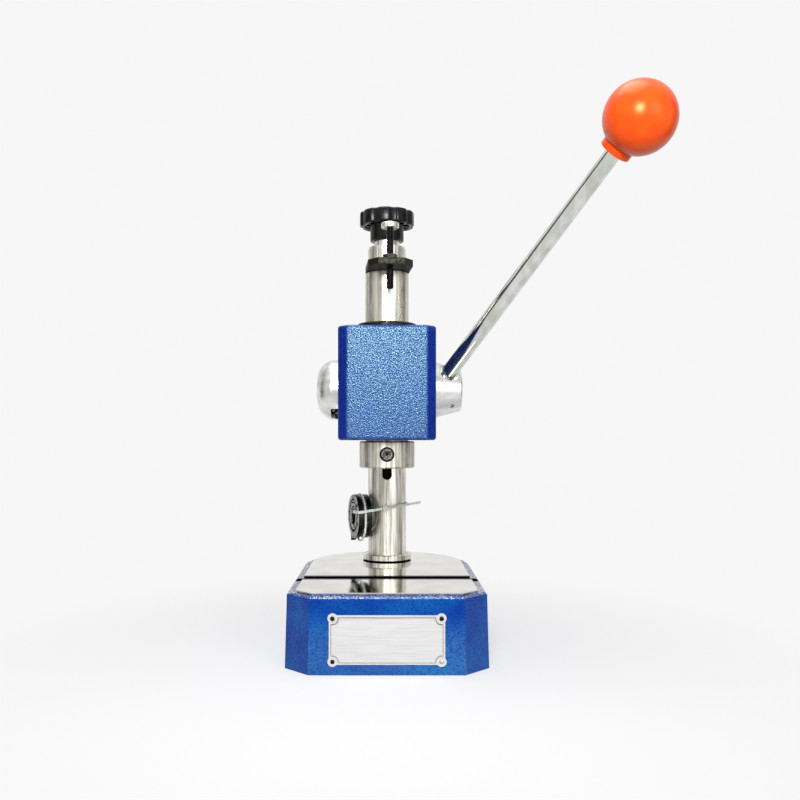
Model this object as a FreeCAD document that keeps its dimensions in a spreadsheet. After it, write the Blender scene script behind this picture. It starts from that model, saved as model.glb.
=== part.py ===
import FreeCAD, Part
import Sketcher
import math
import os

# A small lever hand press. The frame's origin lies on the ram's axis, in the plane of the feet:
# +X to the lever side, -Y to the operator, +Z up. Lengths in mm, angles in degrees.

V = FreeCAD.Vector
doc = FreeCAD.newDocument("lever_hand_press")
sheet = doc.addObject("Spreadsheet::Sheet", "dims")

SIZES = {
    # base casting
    "table_height": 61, "base_width": 158, "base_front": 74, "rear_reach": 92, "base_corner": 20,
    "base_draft": 1.5, "pad_step": 2, "rim_width": 9, "front_rim": 5, "pad_corner": 13,
    "rim_round": 3, "skirt_wall": 9, "cell_height": 36, "rib_width": 8, "rib_lift": 3,
    "die_boss": 36, "column_boss": 54, "neck_width": 14, "neck_depth": 8, "slot_width": 23,
    "slot_height": 9, "die_hole": 16,
    # nameplate
    "plate_width": 87.3, "plate_height": 36.8, "plate_thick": 1, "plate_centre": 26.5,
    "rivet_span": 81.8, "rivet_rise": 32.3, "ear_diameter": 7.5, "rivet_head": 3.2,
    "rivet_shank": 2, "rivet_length": 6, "rivet_crown": 0.9,
    # column
    "column_back": 106, "column_diameter": 36, "column_bore": 24, "column_top": 358,
    "column_foot": 45, "key_slot": 9, "key_slot_bottom": 138, "key_slot_top": 250,
    "flange_diameter": 46, "flange_height": 6.4, "flange_edge": 0.8, "flange_foot": 1,
    "foot_bolt": 16, "foot_bolt_head": 24, "foot_bolt_height": 10, "foot_washer": 30,
    "washer_thick": 3, "foot_bolt_grip": 28,
    # head
    "head_bottom": 176, "head_height": 92, "head_width": 79, "head_front": 36, "head_corner": 7.5,
    "head_shoulder": 58, "rear_boss": 72, "head_round": 2.5, "split_width": 3,
    "clamp_screw": 8, "clamp_back": 28, "clamp_spread": 48, "clamp_length": 30,
    "ring_diameter": 50, "ring_height": 4.5, "ring_edge": 1,
    # ram
    "ram_diameter": 36, "ram_top": 315, "nose_gap": 1, "nose_height": 22, "nose_diameter": 46,
    "nose_edge": 1, "grub_inset": 1,
    "spigot_diameter": 26, "tool_bore": 12, "tool_depth": 25, "tool_screw": 12,
    "tool_screw_drop": 10.6, "stroke": 29.5,
    # rack and pinion
    "tooth_module": 2, "tooth_count": 18, "pitch_line": 14, "backlash": 0.16,
    "pinion_height": 219.5, "pinion_length": 28, "shaft_diameter": 22, "rack_spaces": 10,
    "flange_thick": 1.5, "bush_flange": 32, "spring_arbor": 12, "hub_spigot": 14,
    # stop
    "stop_width": 36, "stop_thick": 5, "stop_front": 43, "stop_nose": 21, "stop_corner": 10,
    "stop_turn": 5, "stop_reach": 28.5, "stop_screw": 6, "stop_screw_top": 350.5, "stop_disc": 14.4,
    "stop_disc_thick": 4.5, "lock_nut_flats": 10, "lock_nut_height": 5, "stop_plate_screw": 8,
    "plate_screw_grip": 16,
    # lever
    "hub_outer": 64.3, "hub_large": 48.6, "hub_small": 36.4, "lever_lean": 44.5,
    "lever_splay": 27.6, "lever_root": 42.7, "lever_length": 275.6, "lever_diameter": 13.6,
    "lever_tip": 11.8, "lever_start": 14, "lever_spot": 18.4, "spot_depth": 3,
    "ball_diameter": 50, "ball_neck": 23, "ball_neck_reach": 27, "ball_socket": 16,
    "hub_pin": 4, "pin_inset": 8.5,
    # spring cap and spiral springs
    "cap_diameter": 51.6, "cap_neck": 8.5, "cap_face": 25.4, "cap_dome": 17.2, "cap_length": 20.7,
    "cap_wall": 5, "notch_width": 14, "notch_depth": 8, "lock_screw": 5, "lock_screw_lead": 12,
    "spring_inset": 3, "strip_width": 5, "strip_thick": 1, "coil_diameter": 42.4,
    "coil_turns": 5, "coil_pitch": 2.6,
    # spare springs and cable tie
    "coil_turn": 17, "coil_gap": 3.4, "coil_height": 42.5, "tie_width": 2.5, "tie_thick": 1.2,
    "tie_tilt": 8, "tie_tail": 34, "tie_slack": 0.6, "tie_rise": 8.5, "tie_head": 5,
    "tie_head_thick": 4, "tie_head_run": 8, "loop_drop": 3, "loop_play": 1.8,
    # star knob and elevating screw
    "knob_diameter": 52, "knob_rim": 14, "knob_hub": 32, "knob_stem": 14, "knob_lobes": 9,
    "scallop": 6, "scallop_depth": 1.9, "knob_set": 14, "knob_round": 1.5, "knob_screw": 5,
    "knob_screw_rise": 4.5, "screw_diameter": 14, "plug_flange": 1.5, "plug_diameter": 34.8,
    "plug_spigot": 8, "thrust_diameter": 24.4, "thrust_height": 6, "collar_diameter": 20,
    "collar_height": 7, "screw_bottom": 130,
    "key_height": 190, "key_thick": 12, "key_reach": 25, "nut_height": 26,
    # fits: same-body seats, sliding fits, and room between bodies that only pass each other
    "seat": 0.05, "slide_fit": 0.05, "air": 0.3,
}


class Size:
    """A number together with the sheet formula that yields it."""

    def __init__(self, number, formula):
        self.number, self.formula = float(number), formula

    def join(self, other, sign, work):
        other = other if isinstance(other, Size) else Size(other, repr(float(other)))
        return Size(work(self.number, other.number), f"({self.formula} {sign} {other.formula})")

    def __add__(self, other):
        return self.join(other, "+", lambda a, b: a + b)

    def __sub__(self, other):
        return self.join(other, "-", lambda a, b: a - b)

    def __mul__(self, other):
        return self.join(other, "*", lambda a, b: a * b)

    def __truediv__(self, other):
        return self.join(other, "/", lambda a, b: a / b)

    def __neg__(self):
        return self * -1

    def __rmul__(self, other):
        return self * other

    def __float__(self):
        return self.number


class Sizes:
    pass


d = Sizes()
for row, (alias, amount) in enumerate(SIZES.items(), 1):
    sheet.set(f"A{row}", alias)
    sheet.set(f"B{row}", str(amount))
    sheet.setAlias(f"B{row}", alias)
    setattr(d, alias, Size(amount, f"dims.{alias}"))
doc.recompute()
ZERO = Size(0, "0")
finished = []


def size(amount):
    return amount if isinstance(amount, Size) else Size(amount, repr(float(amount)))


def bind(thing, **properties):
    """Ties properties of a document object to sheet formulas."""
    for name, amount in properties.items():
        thing.setExpression(name.replace("__", "."), size(amount).formula)


def place(thing, x=0, y=0, z=0, turn=None):
    """Sets the turn and binds the position."""
    thing.Placement = FreeCAD.Placement(V(float(x), float(y), float(z)), turn or FreeCAD.Rotation())
    for axis, amount in zip("xyz", (x, y, z)):
        if isinstance(amount, Size):
            thing.setExpression(f"Placement.Base.{axis}", amount.formula)
    return thing


TO_X = FreeCAD.Rotation(V(0, 1, 0), 90)
TO_MINUS_X = FreeCAD.Rotation(V(0, 1, 0), -90)
TO_MINUS_Y = FreeCAD.Rotation(V(1, 0, 0), 90)


# ---- PartDesign helpers

def new_body(label, kept=True):
    body = doc.addObject("PartDesign::Body", label)
    body.Label = label
    if kept:
        finished.append(body)
    return body


def new_sketch(body, name, plane="XY_Plane", lift=None):
    sketch = body.newObject("Sketcher::SketchObject", name)
    origin = next(f for f in body.Origin.OriginFeatures if f.Role == plane)
    sketch.AttachmentSupport = [(origin, "")]
    sketch.MapMode = "FlatFace"
    if lift is not None:
        bind(sketch, AttachmentOffset__Base__z=lift)
    return sketch


def hold(sketch, edge, end, x, y):
    """Holds one point of an edge at sheet-driven coordinates."""
    for kind, axis, amount in (("DistanceX", -2, size(x)), ("DistanceY", -1, size(y))):
        if abs(amount.number) < 1e-9:
            sketch.addConstraint(Sketcher.Constraint("PointOnObject", edge, end, axis))
        else:
            at = sketch.addConstraint(
                Sketcher.Constraint(kind, -1, 1, edge, end, amount.number))
            if "dims" in amount.formula:
                sketch.setExpression(f"Constraints[{at}]", amount.formula)


def outline(sketch, corners):
    """A closed loop. A corner is (x, y), or (x, y, radius) where an arc leads on to the next
    corner: anticlockwise for a positive radius, clockwise for a negative one."""
    ends = []
    for i, corner in enumerate(corners):
        follow = corners[(i + 1) % len(corners)]
        p, q = (V(float(c[0]), float(c[1]), 0) for c in (corner, follow))
        if len(corner) == 2:
            ends.append((sketch.addGeometry(Part.LineSegment(p, q)), 1, 2))
            continue
        radius, side = abs(float(corner[2])), math.copysign(1, float(corner[2]))
        half = (q - p) * 0.5
        rise = math.sqrt(max(radius ** 2 - half.Length ** 2, 0))
        centre = p + half + V(-half.y, half.x, 0).normalize() * rise * side
        a, b = (math.atan2((c - centre).y, (c - centre).x) for c in (p, q))
        first, last = (a, b) if side > 0 else (b, a)
        if last < first:
            last += 2 * math.pi
        arc = Part.ArcOfCircle(Part.Circle(centre, V(0, 0, 1), radius), first, last)
        edge = sketch.addGeometry(arc)
        ends.append((edge, 1, 2) if side > 0 else (edge, 2, 1))
    for i, (edge, begin, end) in enumerate(ends):
        after, after_begin = ends[(i + 1) % len(ends)][:2]
        sketch.addConstraint(Sketcher.Constraint("Coincident", edge, end, after, after_begin))
    for (edge, begin, end), corner in zip(ends, corners):
        hold(sketch, edge, begin, corner[0], corner[1])
        if len(corner) == 3:
            radius = size(corner[2])
            at = sketch.addConstraint(
                Sketcher.Constraint("Radius", edge, abs(radius.number)))
            if "dims" in radius.formula:
                sketch.setExpression(f"Constraints[{at}]", f"abs({radius.formula})")


def rectangle(sketch, x0, y0, x1, y1):
    outline(sketch, [(x0, y0), (x1, y0), (x1, y1), (x0, y1)])


def circle(sketch, diameter, x=0, y=0):
    diameter = size(diameter)
    edge = sketch.addGeometry(
        Part.Circle(V(float(x), float(y), 0), V(0, 0, 1), diameter.number / 2))
    hold(sketch, edge, 3, x, y)
    at = sketch.addConstraint(Sketcher.Constraint("Diameter", edge, diameter.number))
    if "dims" in diameter.formula:
        sketch.setExpression(f"Constraints[{at}]", diameter.formula)


def hexagon(sketch, flats):
    """A hexagon about the origin, with two corners on the local X axis."""
    corners = []
    for i in range(6):
        angle = math.radians(60 * i)
        corners.append((flats * (math.cos(angle) / math.sqrt(3)),
                        flats * (math.sin(angle) / math.sqrt(3))))
    outline(sketch, corners)


def pad(body, sketch, length, name, **flags):
    feature = body.newObject("PartDesign::Pad", name)
    feature.Profile = sketch
    bind(feature, Length=length)
    for flag, setting in flags.items():
        setattr(feature, flag, setting)
    return feature


def pocket(body, sketch, name, depth=None, toward_normal=False, both=False):
    """Cuts against the sketch's normal, along it, or both ways; without a depth, right through."""
    feature = body.newObject("PartDesign::Pocket", name)
    feature.Profile = sketch
    if depth is None:
        feature.Type = "ThroughAll"
    else:
        bind(feature, Length=depth)
    feature.Reversed = toward_normal
    feature.Midplane = both
    return feature


def revolve(body, sketch, axis, name):
    feature = body.newObject("PartDesign::Revolution", name)
    feature.Profile = sketch
    feature.ReferenceAxis = (sketch, [axis])
    feature.Angle = 360
    return feature


def turned(label, corners, kept=True):
    """A lathe piece about its own Z axis; corners are (radius, height)."""
    body = new_body(label, kept)
    sketch = new_sketch(body, label + "_profile", "XZ_Plane")
    outline(sketch, corners)
    revolve(body, sketch, "V_Axis", label + "_turning")
    return body


def round_edges(body, feature, radius, chosen, name):
    """Rounds the feature's edges for which chosen(edge) is true."""
    doc.recompute()
    names = [f"Edge{i}" for i, e in enumerate(feature.Shape.Edges, 1) if chosen(e)]
    fillet = body.newObject("PartDesign::Fillet", name)
    fillet.Base = (feature, names)
    bind(fillet, Radius=radius)
    body.Tip = fillet
    return fillet


def flat_at(height):
    """True for an edge that lies in the plane z = height."""
    return lambda e: all(abs(v.Z - float(height)) < 1e-4 for v in e.Vertexes)


def tube_corners(inner, outer, low, high):
    return [(inner, low), (outer, low), (outer, high), (inner, high)]


def socket_screw(label, shank, length, head, head_height, flats, kept=True):
    """A cap screw whose head rests on z = 0, its shank pointing down."""
    edge = head * 0.06
    body = turned(label, [(ZERO, -length), (shank / 2 - edge, -length),
                          (shank / 2, -length + edge), (shank / 2, ZERO), (head / 2, ZERO),
                          (head / 2, head_height - edge), (head / 2 - edge, head_height),
                          (ZERO, head_height)], kept)
    sketch = new_sketch(body, label + "_socket", lift=head_height)
    hexagon(sketch, flats)
    pocket(body, sketch, label + "_key_hole", head_height * 0.6)
    return body


def grub_screw(label, shank, length):
    """A headless screw along Z from its point at z = 0, with a hexagon socket in its end."""
    edge = shank / 12
    body = turned(label, [(ZERO, ZERO), (shank / 2 - edge, ZERO), (shank / 2, edge),
                          (shank / 2, length - edge), (shank / 2 - edge, length),
                          (ZERO, length)])
    sketch = new_sketch(body, label + "_socket", lift=length)
    hexagon(sketch, shank / 2)
    pocket(body, sketch, label + "_key_hole", length / 2)
    return body


def group(label, members):
    """Identical pieces that share one node, each a solid of its own."""
    compound = doc.addObject("Part::Compound", label)
    compound.Label = label
    compound.Links = members
    finished.append(compound)
    return compound


def shaped(label, shape):
    feature = doc.addObject("Part::Feature", label)
    feature.Label = label
    feature.Shape = shape
    finished.append(feature)
    return feature


# ---- positions that several pieces share

rim_height = d.table_height - d.pad_step
slot_floor = d.table_height - d.neck_depth - d.slot_height
pitch_radius = d.tooth_module * d.tooth_count / 2
tip_radius = pitch_radius + d.tooth_module
pinion_back = d.pitch_line + pitch_radius
rack_pitch = d.tooth_module * math.pi
pinion_bore = tip_radius * 2 + 1
head_top = d.head_bottom + d.head_height
head_half = d.head_width / 2
nose_top = d.head_bottom - d.nose_gap
nose_bottom = nose_top - d.nose_height
ram_radius = d.ram_diameter / 2
column_radius = d.column_diameter / 2
stop_top = d.ram_top + d.stop_thick
hub_start = head_half + d.flange_thick + d.air
knob_seat = d.column_top + d.plug_flange + d.thrust_height + d.air


# ---- base casting

def footprint(sketch, half, front, corner):
    """Straight front with cut corners, sides, and a half-round rear."""
    outline(sketch, [(-half + corner, -front), (half - corner, -front), (half, -front + corner),
                     (half, d.rear_reach, half), (ZERO, d.rear_reach + half, half),
                     (-half, d.rear_reach), (-half, -front + corner)])


base = new_body("base_casting")
foot = new_sketch(base, "foot_outline")
footprint(foot, d.base_width / 2, d.base_front, d.base_corner)
block = pad(base, foot, rim_height, "drafted_block")
bind(block, TaperAngle=-d.base_draft)
rim = round_edges(base, block, d.rim_round, flat_at(rim_height), "rounded_rim")
table = new_sketch(base, "table_outline", lift=rim_height)
footprint(table, d.base_width / 2 - d.rim_width, d.base_front - d.front_rim, d.pad_corner)
pad(base, table, d.pad_step, "machined_table")
hollow = new_sketch(base, "hollow_outline")
footprint(hollow, d.base_width / 2 - d.skirt_wall, d.base_front - d.skirt_wall,
          d.base_corner - 2)
pocket(base, hollow, "hollow", d.cell_height, toward_normal=True)
ribs = {
    "long_rib": (-d.rib_width / 2, -d.base_front + d.skirt_wall / 2, d.rib_width / 2,
                 d.rear_reach + d.base_width / 2 - d.skirt_wall / 2),
    "die_rib": (-d.base_width / 2 + d.skirt_wall / 2, -d.rib_width / 2,
                d.base_width / 2 - d.skirt_wall / 2, d.rib_width / 2),
    "column_rib": (-d.base_width / 2 + d.skirt_wall / 2, d.column_back - d.rib_width / 2,
                   d.base_width / 2 - d.skirt_wall / 2, d.column_back + d.rib_width / 2),
}
for rib, corners in ribs.items():
    sketch = new_sketch(base, rib + "_plan", lift=d.rib_lift)
    rectangle(sketch, *corners)
    pad(base, sketch, d.cell_height - d.rib_lift, rib)
for boss, diameter, back in (("die_boss", d.die_boss, 0), ("column_boss", d.column_boss,
                                                           d.column_back)):
    sketch = new_sketch(base, boss + "_plan")
    circle(sketch, diameter, 0, back)
    pad(base, sketch, d.cell_height, boss)
slot = new_sketch(base, "slot_profile", "YZ_Plane")
neck, wide = d.neck_width / 2, d.slot_width / 2
step = d.table_height - d.neck_depth
outline(slot, [(-neck, d.table_height + 1), (-neck, step), (-wide, step), (-wide, slot_floor),
               (wide, slot_floor), (wide, step), (neck, step), (neck, d.table_height + 1)])
pocket(base, slot, "cross_slot", both=True)
for hole, diameter, back, depth in (
        ("die_hole", d.die_hole, 0, None),
        ("foot_bolt_hole", d.foot_bolt + 1, d.column_back, None),
        ("foot_bolt_recess", d.foot_washer + 2, d.column_back, d.table_height - d.foot_bolt_grip)):
    sketch = new_sketch(base, hole + "_circle")
    circle(sketch, diameter, 0, back)
    pocket(base, sketch, hole, depth, toward_normal=True)
rivet_sites = [(d.rivet_span * sx / 2, d.plate_centre + d.rivet_rise * sz / 2)
               for sx in (-1, 1) for sz in (-1, 1)]
sketch = new_sketch(base, "rivet_hole_circles", "XZ_Plane",
                    lift=d.base_front - d.rivet_length - 2)
for x, z in rivet_sites:
    circle(sketch, d.rivet_shank + d.air * 2, x, z)
pocket(base, sketch, "rivet_holes", toward_normal=True)

# ---- nameplate: bare, with an eared corner for each rivet

draft = math.radians(SIZES["base_draft"])
LEAN_BACK = FreeCAD.Rotation(V(1, 0, 0), 90 - SIZES["base_draft"])
plate_front = -(d.base_front - d.plate_centre * math.tan(draft))
nameplate = new_body("nameplate")
sketch = new_sketch(nameplate, "plate_outline")
rectangle(sketch, -d.plate_width / 2, -d.plate_height / 2, d.plate_width / 2, d.plate_height / 2)
pad(nameplate, sketch, d.plate_thick, "plate_sheet")
sketch = new_sketch(nameplate, "ear_circles")
for sx in (-1, 1):
    for sy in (-1, 1):
        circle(sketch, d.ear_diameter, d.rivet_span * sx / 2, d.rivet_rise * sy / 2)
pad(nameplate, sketch, d.plate_thick, "ears")
sketch = new_sketch(nameplate, "plate_hole_circles")
for sx in (-1, 1):
    for sy in (-1, 1):
        circle(sketch, d.rivet_shank + d.air * 2, d.rivet_span * sx / 2, d.rivet_rise * sy / 2)
pocket(nameplate, sketch, "plate_holes", toward_normal=True)
place(nameplate, 0, plate_front, d.plate_centre, LEAN_BACK)

rivets = []
for n, (x, z) in enumerate(rivet_sites, 1):
    shank, top = d.rivet_shank / 2, d.rivet_head / 2
    crown = d.plate_thick + d.rivet_crown
    rivet = turned(f"rivet_{n}", [(ZERO, -d.rivet_length), (shank, -d.rivet_length),
                                  (shank, d.plate_thick), (top, d.plate_thick),
                                  (top * 0.7, crown), (ZERO, crown)], kept=False)
    rivets.append(place(rivet, x, -(d.base_front - z * math.tan(draft)), z, LEAN_BACK))
group("nameplate_rivets", rivets)

# ---- column

column = new_body("column")
sketch = new_sketch(column, "column_circle", lift=d.table_height)
circle(sketch, d.column_diameter)
pad(column, sketch, d.column_top - d.table_height, "column_bar")
sketch = new_sketch(column, "bore_circle", lift=d.column_top)
circle(sketch, d.column_bore)
pocket(column, sketch, "bore", d.column_top - d.table_height - d.column_foot)
sketch = new_sketch(column, "foot_thread_circle", lift=d.table_height)
circle(sketch, d.foot_bolt + d.seat * 2)
pocket(column, sketch, "foot_thread", d.column_foot * 0.7, toward_normal=True)
sketch = new_sketch(column, "key_slot_outline", "XZ_Plane")
half = d.key_slot / 2
low, high = d.key_slot_bottom + half, d.key_slot_top - half
outline(sketch, [(-half, low, half), (ZERO, d.key_slot_bottom, half), (half, low),
                 (half, high, half), (ZERO, d.key_slot_top, half), (-half, high)])
pocket(column, sketch, "key_slot", toward_normal=True)
place(column, 0, d.column_back, 0)

place(turned("column_flange", [
    (column_radius + d.seat, ZERO), (d.flange_diameter / 2 - d.flange_foot, ZERO),
    (d.flange_diameter / 2 - d.flange_foot, d.flange_foot),
    (d.flange_diameter / 2, d.flange_foot),
    (d.flange_diameter / 2, d.flange_height - d.flange_edge),
    (d.flange_diameter / 2 - d.flange_edge, d.flange_height),
    (column_radius + d.seat, d.flange_height)]), 0, d.column_back, d.table_height)

bolt_seat = d.table_height - d.foot_bolt_grip
foot_bolt = new_body("column_foot_bolt")
sketch = new_sketch(foot_bolt, "bolt_head")
hexagon(sketch, d.foot_bolt_head)
pad(foot_bolt, sketch, d.foot_bolt_height, "hexagon_head")
sketch = new_sketch(foot_bolt, "bolt_shank")
circle(sketch, d.foot_bolt)
pad(foot_bolt, sketch, d.foot_bolt_height + d.washer_thick + d.foot_bolt_grip
    + d.column_foot * 0.6, "threaded_shank")
place(foot_bolt, 0, d.column_back, bolt_seat - d.washer_thick - d.foot_bolt_height)
place(turned("foot_washer", tube_corners(d.foot_bolt / 2 + 0.5, d.foot_washer / 2, ZERO,
                                         d.washer_thick)),
      0, d.column_back, bolt_seat - d.washer_thick)

# ---- elevating gear inside the column

plug_bore = d.screw_diameter / 2 + d.seat * 2
thrust_top = d.plug_flange + d.thrust_height
place(turned("column_cap", [
    (plug_bore, -d.plug_spigot), (d.column_bore / 2 - d.seat, -d.plug_spigot),
    (d.column_bore / 2 - d.seat, ZERO), (d.plug_diameter / 2, ZERO),
    (d.plug_diameter / 2, d.plug_flange), (d.thrust_diameter / 2, d.plug_flange),
    (d.thrust_diameter / 2, thrust_top), (plug_bore, thrust_top)]),
      0, d.column_back, d.column_top)
collar_top = d.column_top - d.plug_spigot - d.air
place(turned("screw_collar", tube_corners(d.screw_diameter / 2 + d.seat, d.collar_diameter / 2,
                                          -d.collar_height, ZERO)), 0, d.column_back, collar_top)
screw_end = knob_seat + d.knob_stem + d.knob_rim * 0.5
place(turned("elevating_screw", [
    (ZERO, d.screw_bottom), (d.screw_diameter / 2 - 1, d.screw_bottom),
    (d.screw_diameter / 2, d.screw_bottom + 1), (d.screw_diameter / 2, screw_end),
    (ZERO, screw_end)]), 0, d.column_back, 0)

nut = new_body("elevating_nut")
sketch = new_sketch(nut, "nut_circle")
circle(sketch, d.column_bore - d.air * 2)
pad(nut, sketch, d.nut_height, "nut_barrel", Midplane=True)
sketch = new_sketch(nut, "key_plan")
rectangle(sketch, -d.key_slot / 2 + d.air, -d.key_reach, d.key_slot / 2 - d.air,
          -d.screw_diameter / 2)
pad(nut, sketch, d.key_thick, "key", Midplane=True)
sketch = new_sketch(nut, "nut_thread_circle")
circle(sketch, d.screw_diameter + d.air * 2)
pocket(nut, sketch, "nut_thread", both=True)
place(nut, 0, d.column_back, d.key_height)

# ---- star knob

knob_top = d.knob_stem + d.knob_rim
knob_radius = d.knob_diameter / 2
knob = turned("star_knob", [
    (ZERO, knob_top), (ZERO, screw_end - knob_seat + d.seat),
    (d.screw_diameter / 2 + d.seat, screw_end - knob_seat + d.seat),
    (d.screw_diameter / 2 + d.seat, ZERO), (d.knob_hub / 2, ZERO), (d.knob_hub / 2, d.knob_stem),
    (knob_radius - d.knob_round, d.knob_stem, d.knob_round),
    (knob_radius, d.knob_stem + d.knob_round), (knob_radius, knob_top - d.knob_round, d.knob_round),
    (knob_radius - d.knob_round, knob_top)])
set_turn = math.radians(SIZES["knob_set"])
scallop_reach = knob_radius + d.scallop - d.scallop_depth
sketch = new_sketch(knob, "scallop_circle", lift=d.knob_stem)
circle(sketch, d.scallop * 2, scallop_reach * math.sin(set_turn),
       scallop_reach * -math.cos(set_turn))
scallop = pocket(knob, sketch, "scallop", toward_normal=True)
lobes = knob.newObject("PartDesign::PolarPattern", "lobes")
lobes.Originals = [scallop]
lobes.Axis = (sketch, ["N_Axis"])
lobes.Angle = 360
bind(lobes, Occurrences=d.knob_lobes)
knob.Tip = lobes
sketch = new_sketch(knob, "knob_screw_circle", "XZ_Plane")
circle(sketch, d.knob_screw + d.seat * 2, 0, d.knob_screw_rise)
pocket(knob, sketch, "knob_screw_hole", toward_normal=True)
place(knob, 0, d.column_back, knob_seat)
screw_radius = d.screw_diameter / 2
place(grub_screw("knob_set_screw", d.knob_screw, d.knob_hub / 2 - screw_radius - d.seat),
      0, d.column_back - screw_radius - d.seat, knob_seat + d.knob_screw_rise, TO_MINUS_Y)

# ---- head casting

head = new_body("head_casting")
boss = d.rear_boss / 2
sketch = new_sketch(head, "head_plan", lift=d.head_bottom)
outline(sketch, [
    (-head_half + d.head_corner, -d.head_front), (head_half - d.head_corner, -d.head_front),
    (head_half, -d.head_front + d.head_corner), (head_half, d.head_shoulder),
    (boss, d.column_back, boss), (ZERO, d.column_back + boss, boss), (-boss, d.column_back),
    (-head_half, d.head_shoulder), (-head_half, -d.head_front + d.head_corner)])
head_block = pad(head, sketch, d.head_height, "head_block")
round_edges(head, head_block, d.head_round, lambda e: True, "cast_rounding")
for bore, diameter, back in (("ram_bore", d.ram_diameter + d.slide_fit * 2, 0),
                             ("column_bore_way", d.column_diameter + d.slide_fit * 2,
                              d.column_back)):
    sketch = new_sketch(head, bore + "_circle")
    circle(sketch, diameter, 0, back)
    pocket(head, sketch, bore, toward_normal=True)
sketch = new_sketch(head, "pinion_bore_circle", "YZ_Plane")
circle(sketch, pinion_bore, pinion_back, d.pinion_height)
pocket(head, sketch, "pinion_way", both=True)
sketch = new_sketch(head, "key_seat_plan", lift=d.key_height - d.key_thick / 2 - d.seat)
rectangle(sketch, -d.key_slot / 2 + d.air - d.seat, d.column_back - d.key_reach - d.seat,
          d.key_slot / 2 - d.air + d.seat, d.column_back)
pocket(head, sketch, "key_seat", d.key_thick + d.seat * 2, toward_normal=True)
sketch = new_sketch(head, "split_plan")
rectangle(sketch, -d.split_width / 2, d.column_back, d.split_width / 2,
          d.column_back + boss + 1)
pocket(head, sketch, "split", toward_normal=True)
clamp_sites = [(d.column_back + d.clamp_back,
                head_top - d.head_height / 2 + d.clamp_spread * s / 2) for s in (-1, 1)]
clamp_face = d.clamp_length / 2
for hole, diameter, lift, both in (
        ("clamp_holes", d.clamp_screw + d.seat * 2, ZERO, True),
        ("clamp_faces", d.clamp_screw * 1.5 + 3, clamp_face, False)):
    sketch = new_sketch(head, hole + "_circles", "YZ_Plane", lift=lift)
    for y, z in clamp_sites:
        circle(sketch, diameter, y, z)
    pocket(head, sketch, hole, toward_normal=not both, both=both)
lock_radius, lock_angle = pinion_bore / 2 + d.lock_screw, math.radians(-57)
lock_y = pinion_back - lock_radius * math.cos(lock_angle)
lock_z = d.pinion_height + lock_radius * math.sin(lock_angle)
sketch = new_sketch(head, "lock_screw_circle", "YZ_Plane", lift=-(head_half - d.lock_screw_lead))
circle(sketch, d.lock_screw + d.seat * 2, lock_y, lock_z)
pocket(head, sketch, "lock_screw_hole")

clamp_screws = []
for n, (y, z) in enumerate(clamp_sites, 1):
    screw = socket_screw(f"clamp_screw_{n}", d.clamp_screw, d.clamp_length + 2,
                         d.clamp_screw * 1.5 + 1, d.clamp_screw, d.clamp_screw * 0.75, kept=False)
    clamp_screws.append(place(screw, clamp_face, y, z, TO_X))
group("head_clamp_screws", clamp_screws)

place(turned("guide_ring", [
    (ram_radius + d.air, ZERO), (d.ring_diameter / 2, ZERO),
    (d.ring_diameter / 2, d.ring_height - d.ring_edge),
    (d.ring_diameter / 2 - d.ring_edge, d.ring_height),
    (ram_radius + d.air, d.ring_height)]), 0, 0, head_top)

# ---- pinion shaft, bushes, spring cap and hub: turned about the pinion's axis

def axis_piece(label, corners):
    """A lathe piece about the pinion's axis; corners are (position along X, radius)."""
    body = new_body(label)
    sketch = new_sketch(body, label + "_profile")
    outline(sketch, corners)
    revolve(body, sketch, "H_Axis", label + "_turning")
    return place(body, 0, pinion_back, d.pinion_height)


shaft_radius = d.shaft_diameter / 2
bush_inner = d.pinion_length / 2 + 1
bush_outer = pinion_bore / 2 - d.seat
bush_hole = shaft_radius + d.slide_fit
axis_piece("pinion_bush_left", [(-head_half, bush_hole), (-head_half, bush_outer),
                                (-bush_inner, bush_outer), (-bush_inner, bush_hole)])
axis_piece("pinion_bush_right", [
    (bush_inner, bush_hole), (bush_inner, bush_outer), (head_half, bush_outer),
    (head_half, bush_outer + 2.5), (head_half + d.flange_thick, bush_outer + 2.5),
    (head_half + d.flange_thick, bush_hole)])

arbor = d.spring_arbor / 2
arbor_end = head_half + d.cap_length - d.cap_wall - d.air * 5
spigot = d.hub_spigot / 2
spigot_end = d.hub_outer - 4
shaft = new_body("pinion_shaft")
sketch = new_sketch(shaft, "tip_circle", "YZ_Plane")
circle(sketch, tip_radius * 2)
pad(shaft, sketch, d.pinion_length, "tooth_blank", Midplane=True)


def involute_angle(radius, base_radius):
    """The angle that an involute turns through from its base circle out to a radius."""
    pressure = math.acos(min(base_radius / radius, 1))
    return math.tan(pressure) - pressure


PRESSURE = math.radians(20)
r_pitch, r_tip = float(pitch_radius), float(tip_radius)
r_base, r_root = r_pitch * math.cos(PRESSURE), r_pitch - 1.25 * float(d.tooth_module)
teeth = int(SIZES["tooth_count"])
half_space = math.pi / 2 / teeth + SIZES["backlash"] / 4 / r_pitch


def flank(radius, side, turn):
    """A point of the tooth space's flank, the space facing the direction turn."""
    r = max(radius, r_base)
    angle = turn + side * (half_space - involute_angle(r_pitch, r_base) + involute_angle(r, r_base))
    return V(radius * math.cos(angle), radius * math.sin(angle), 0)


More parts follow.
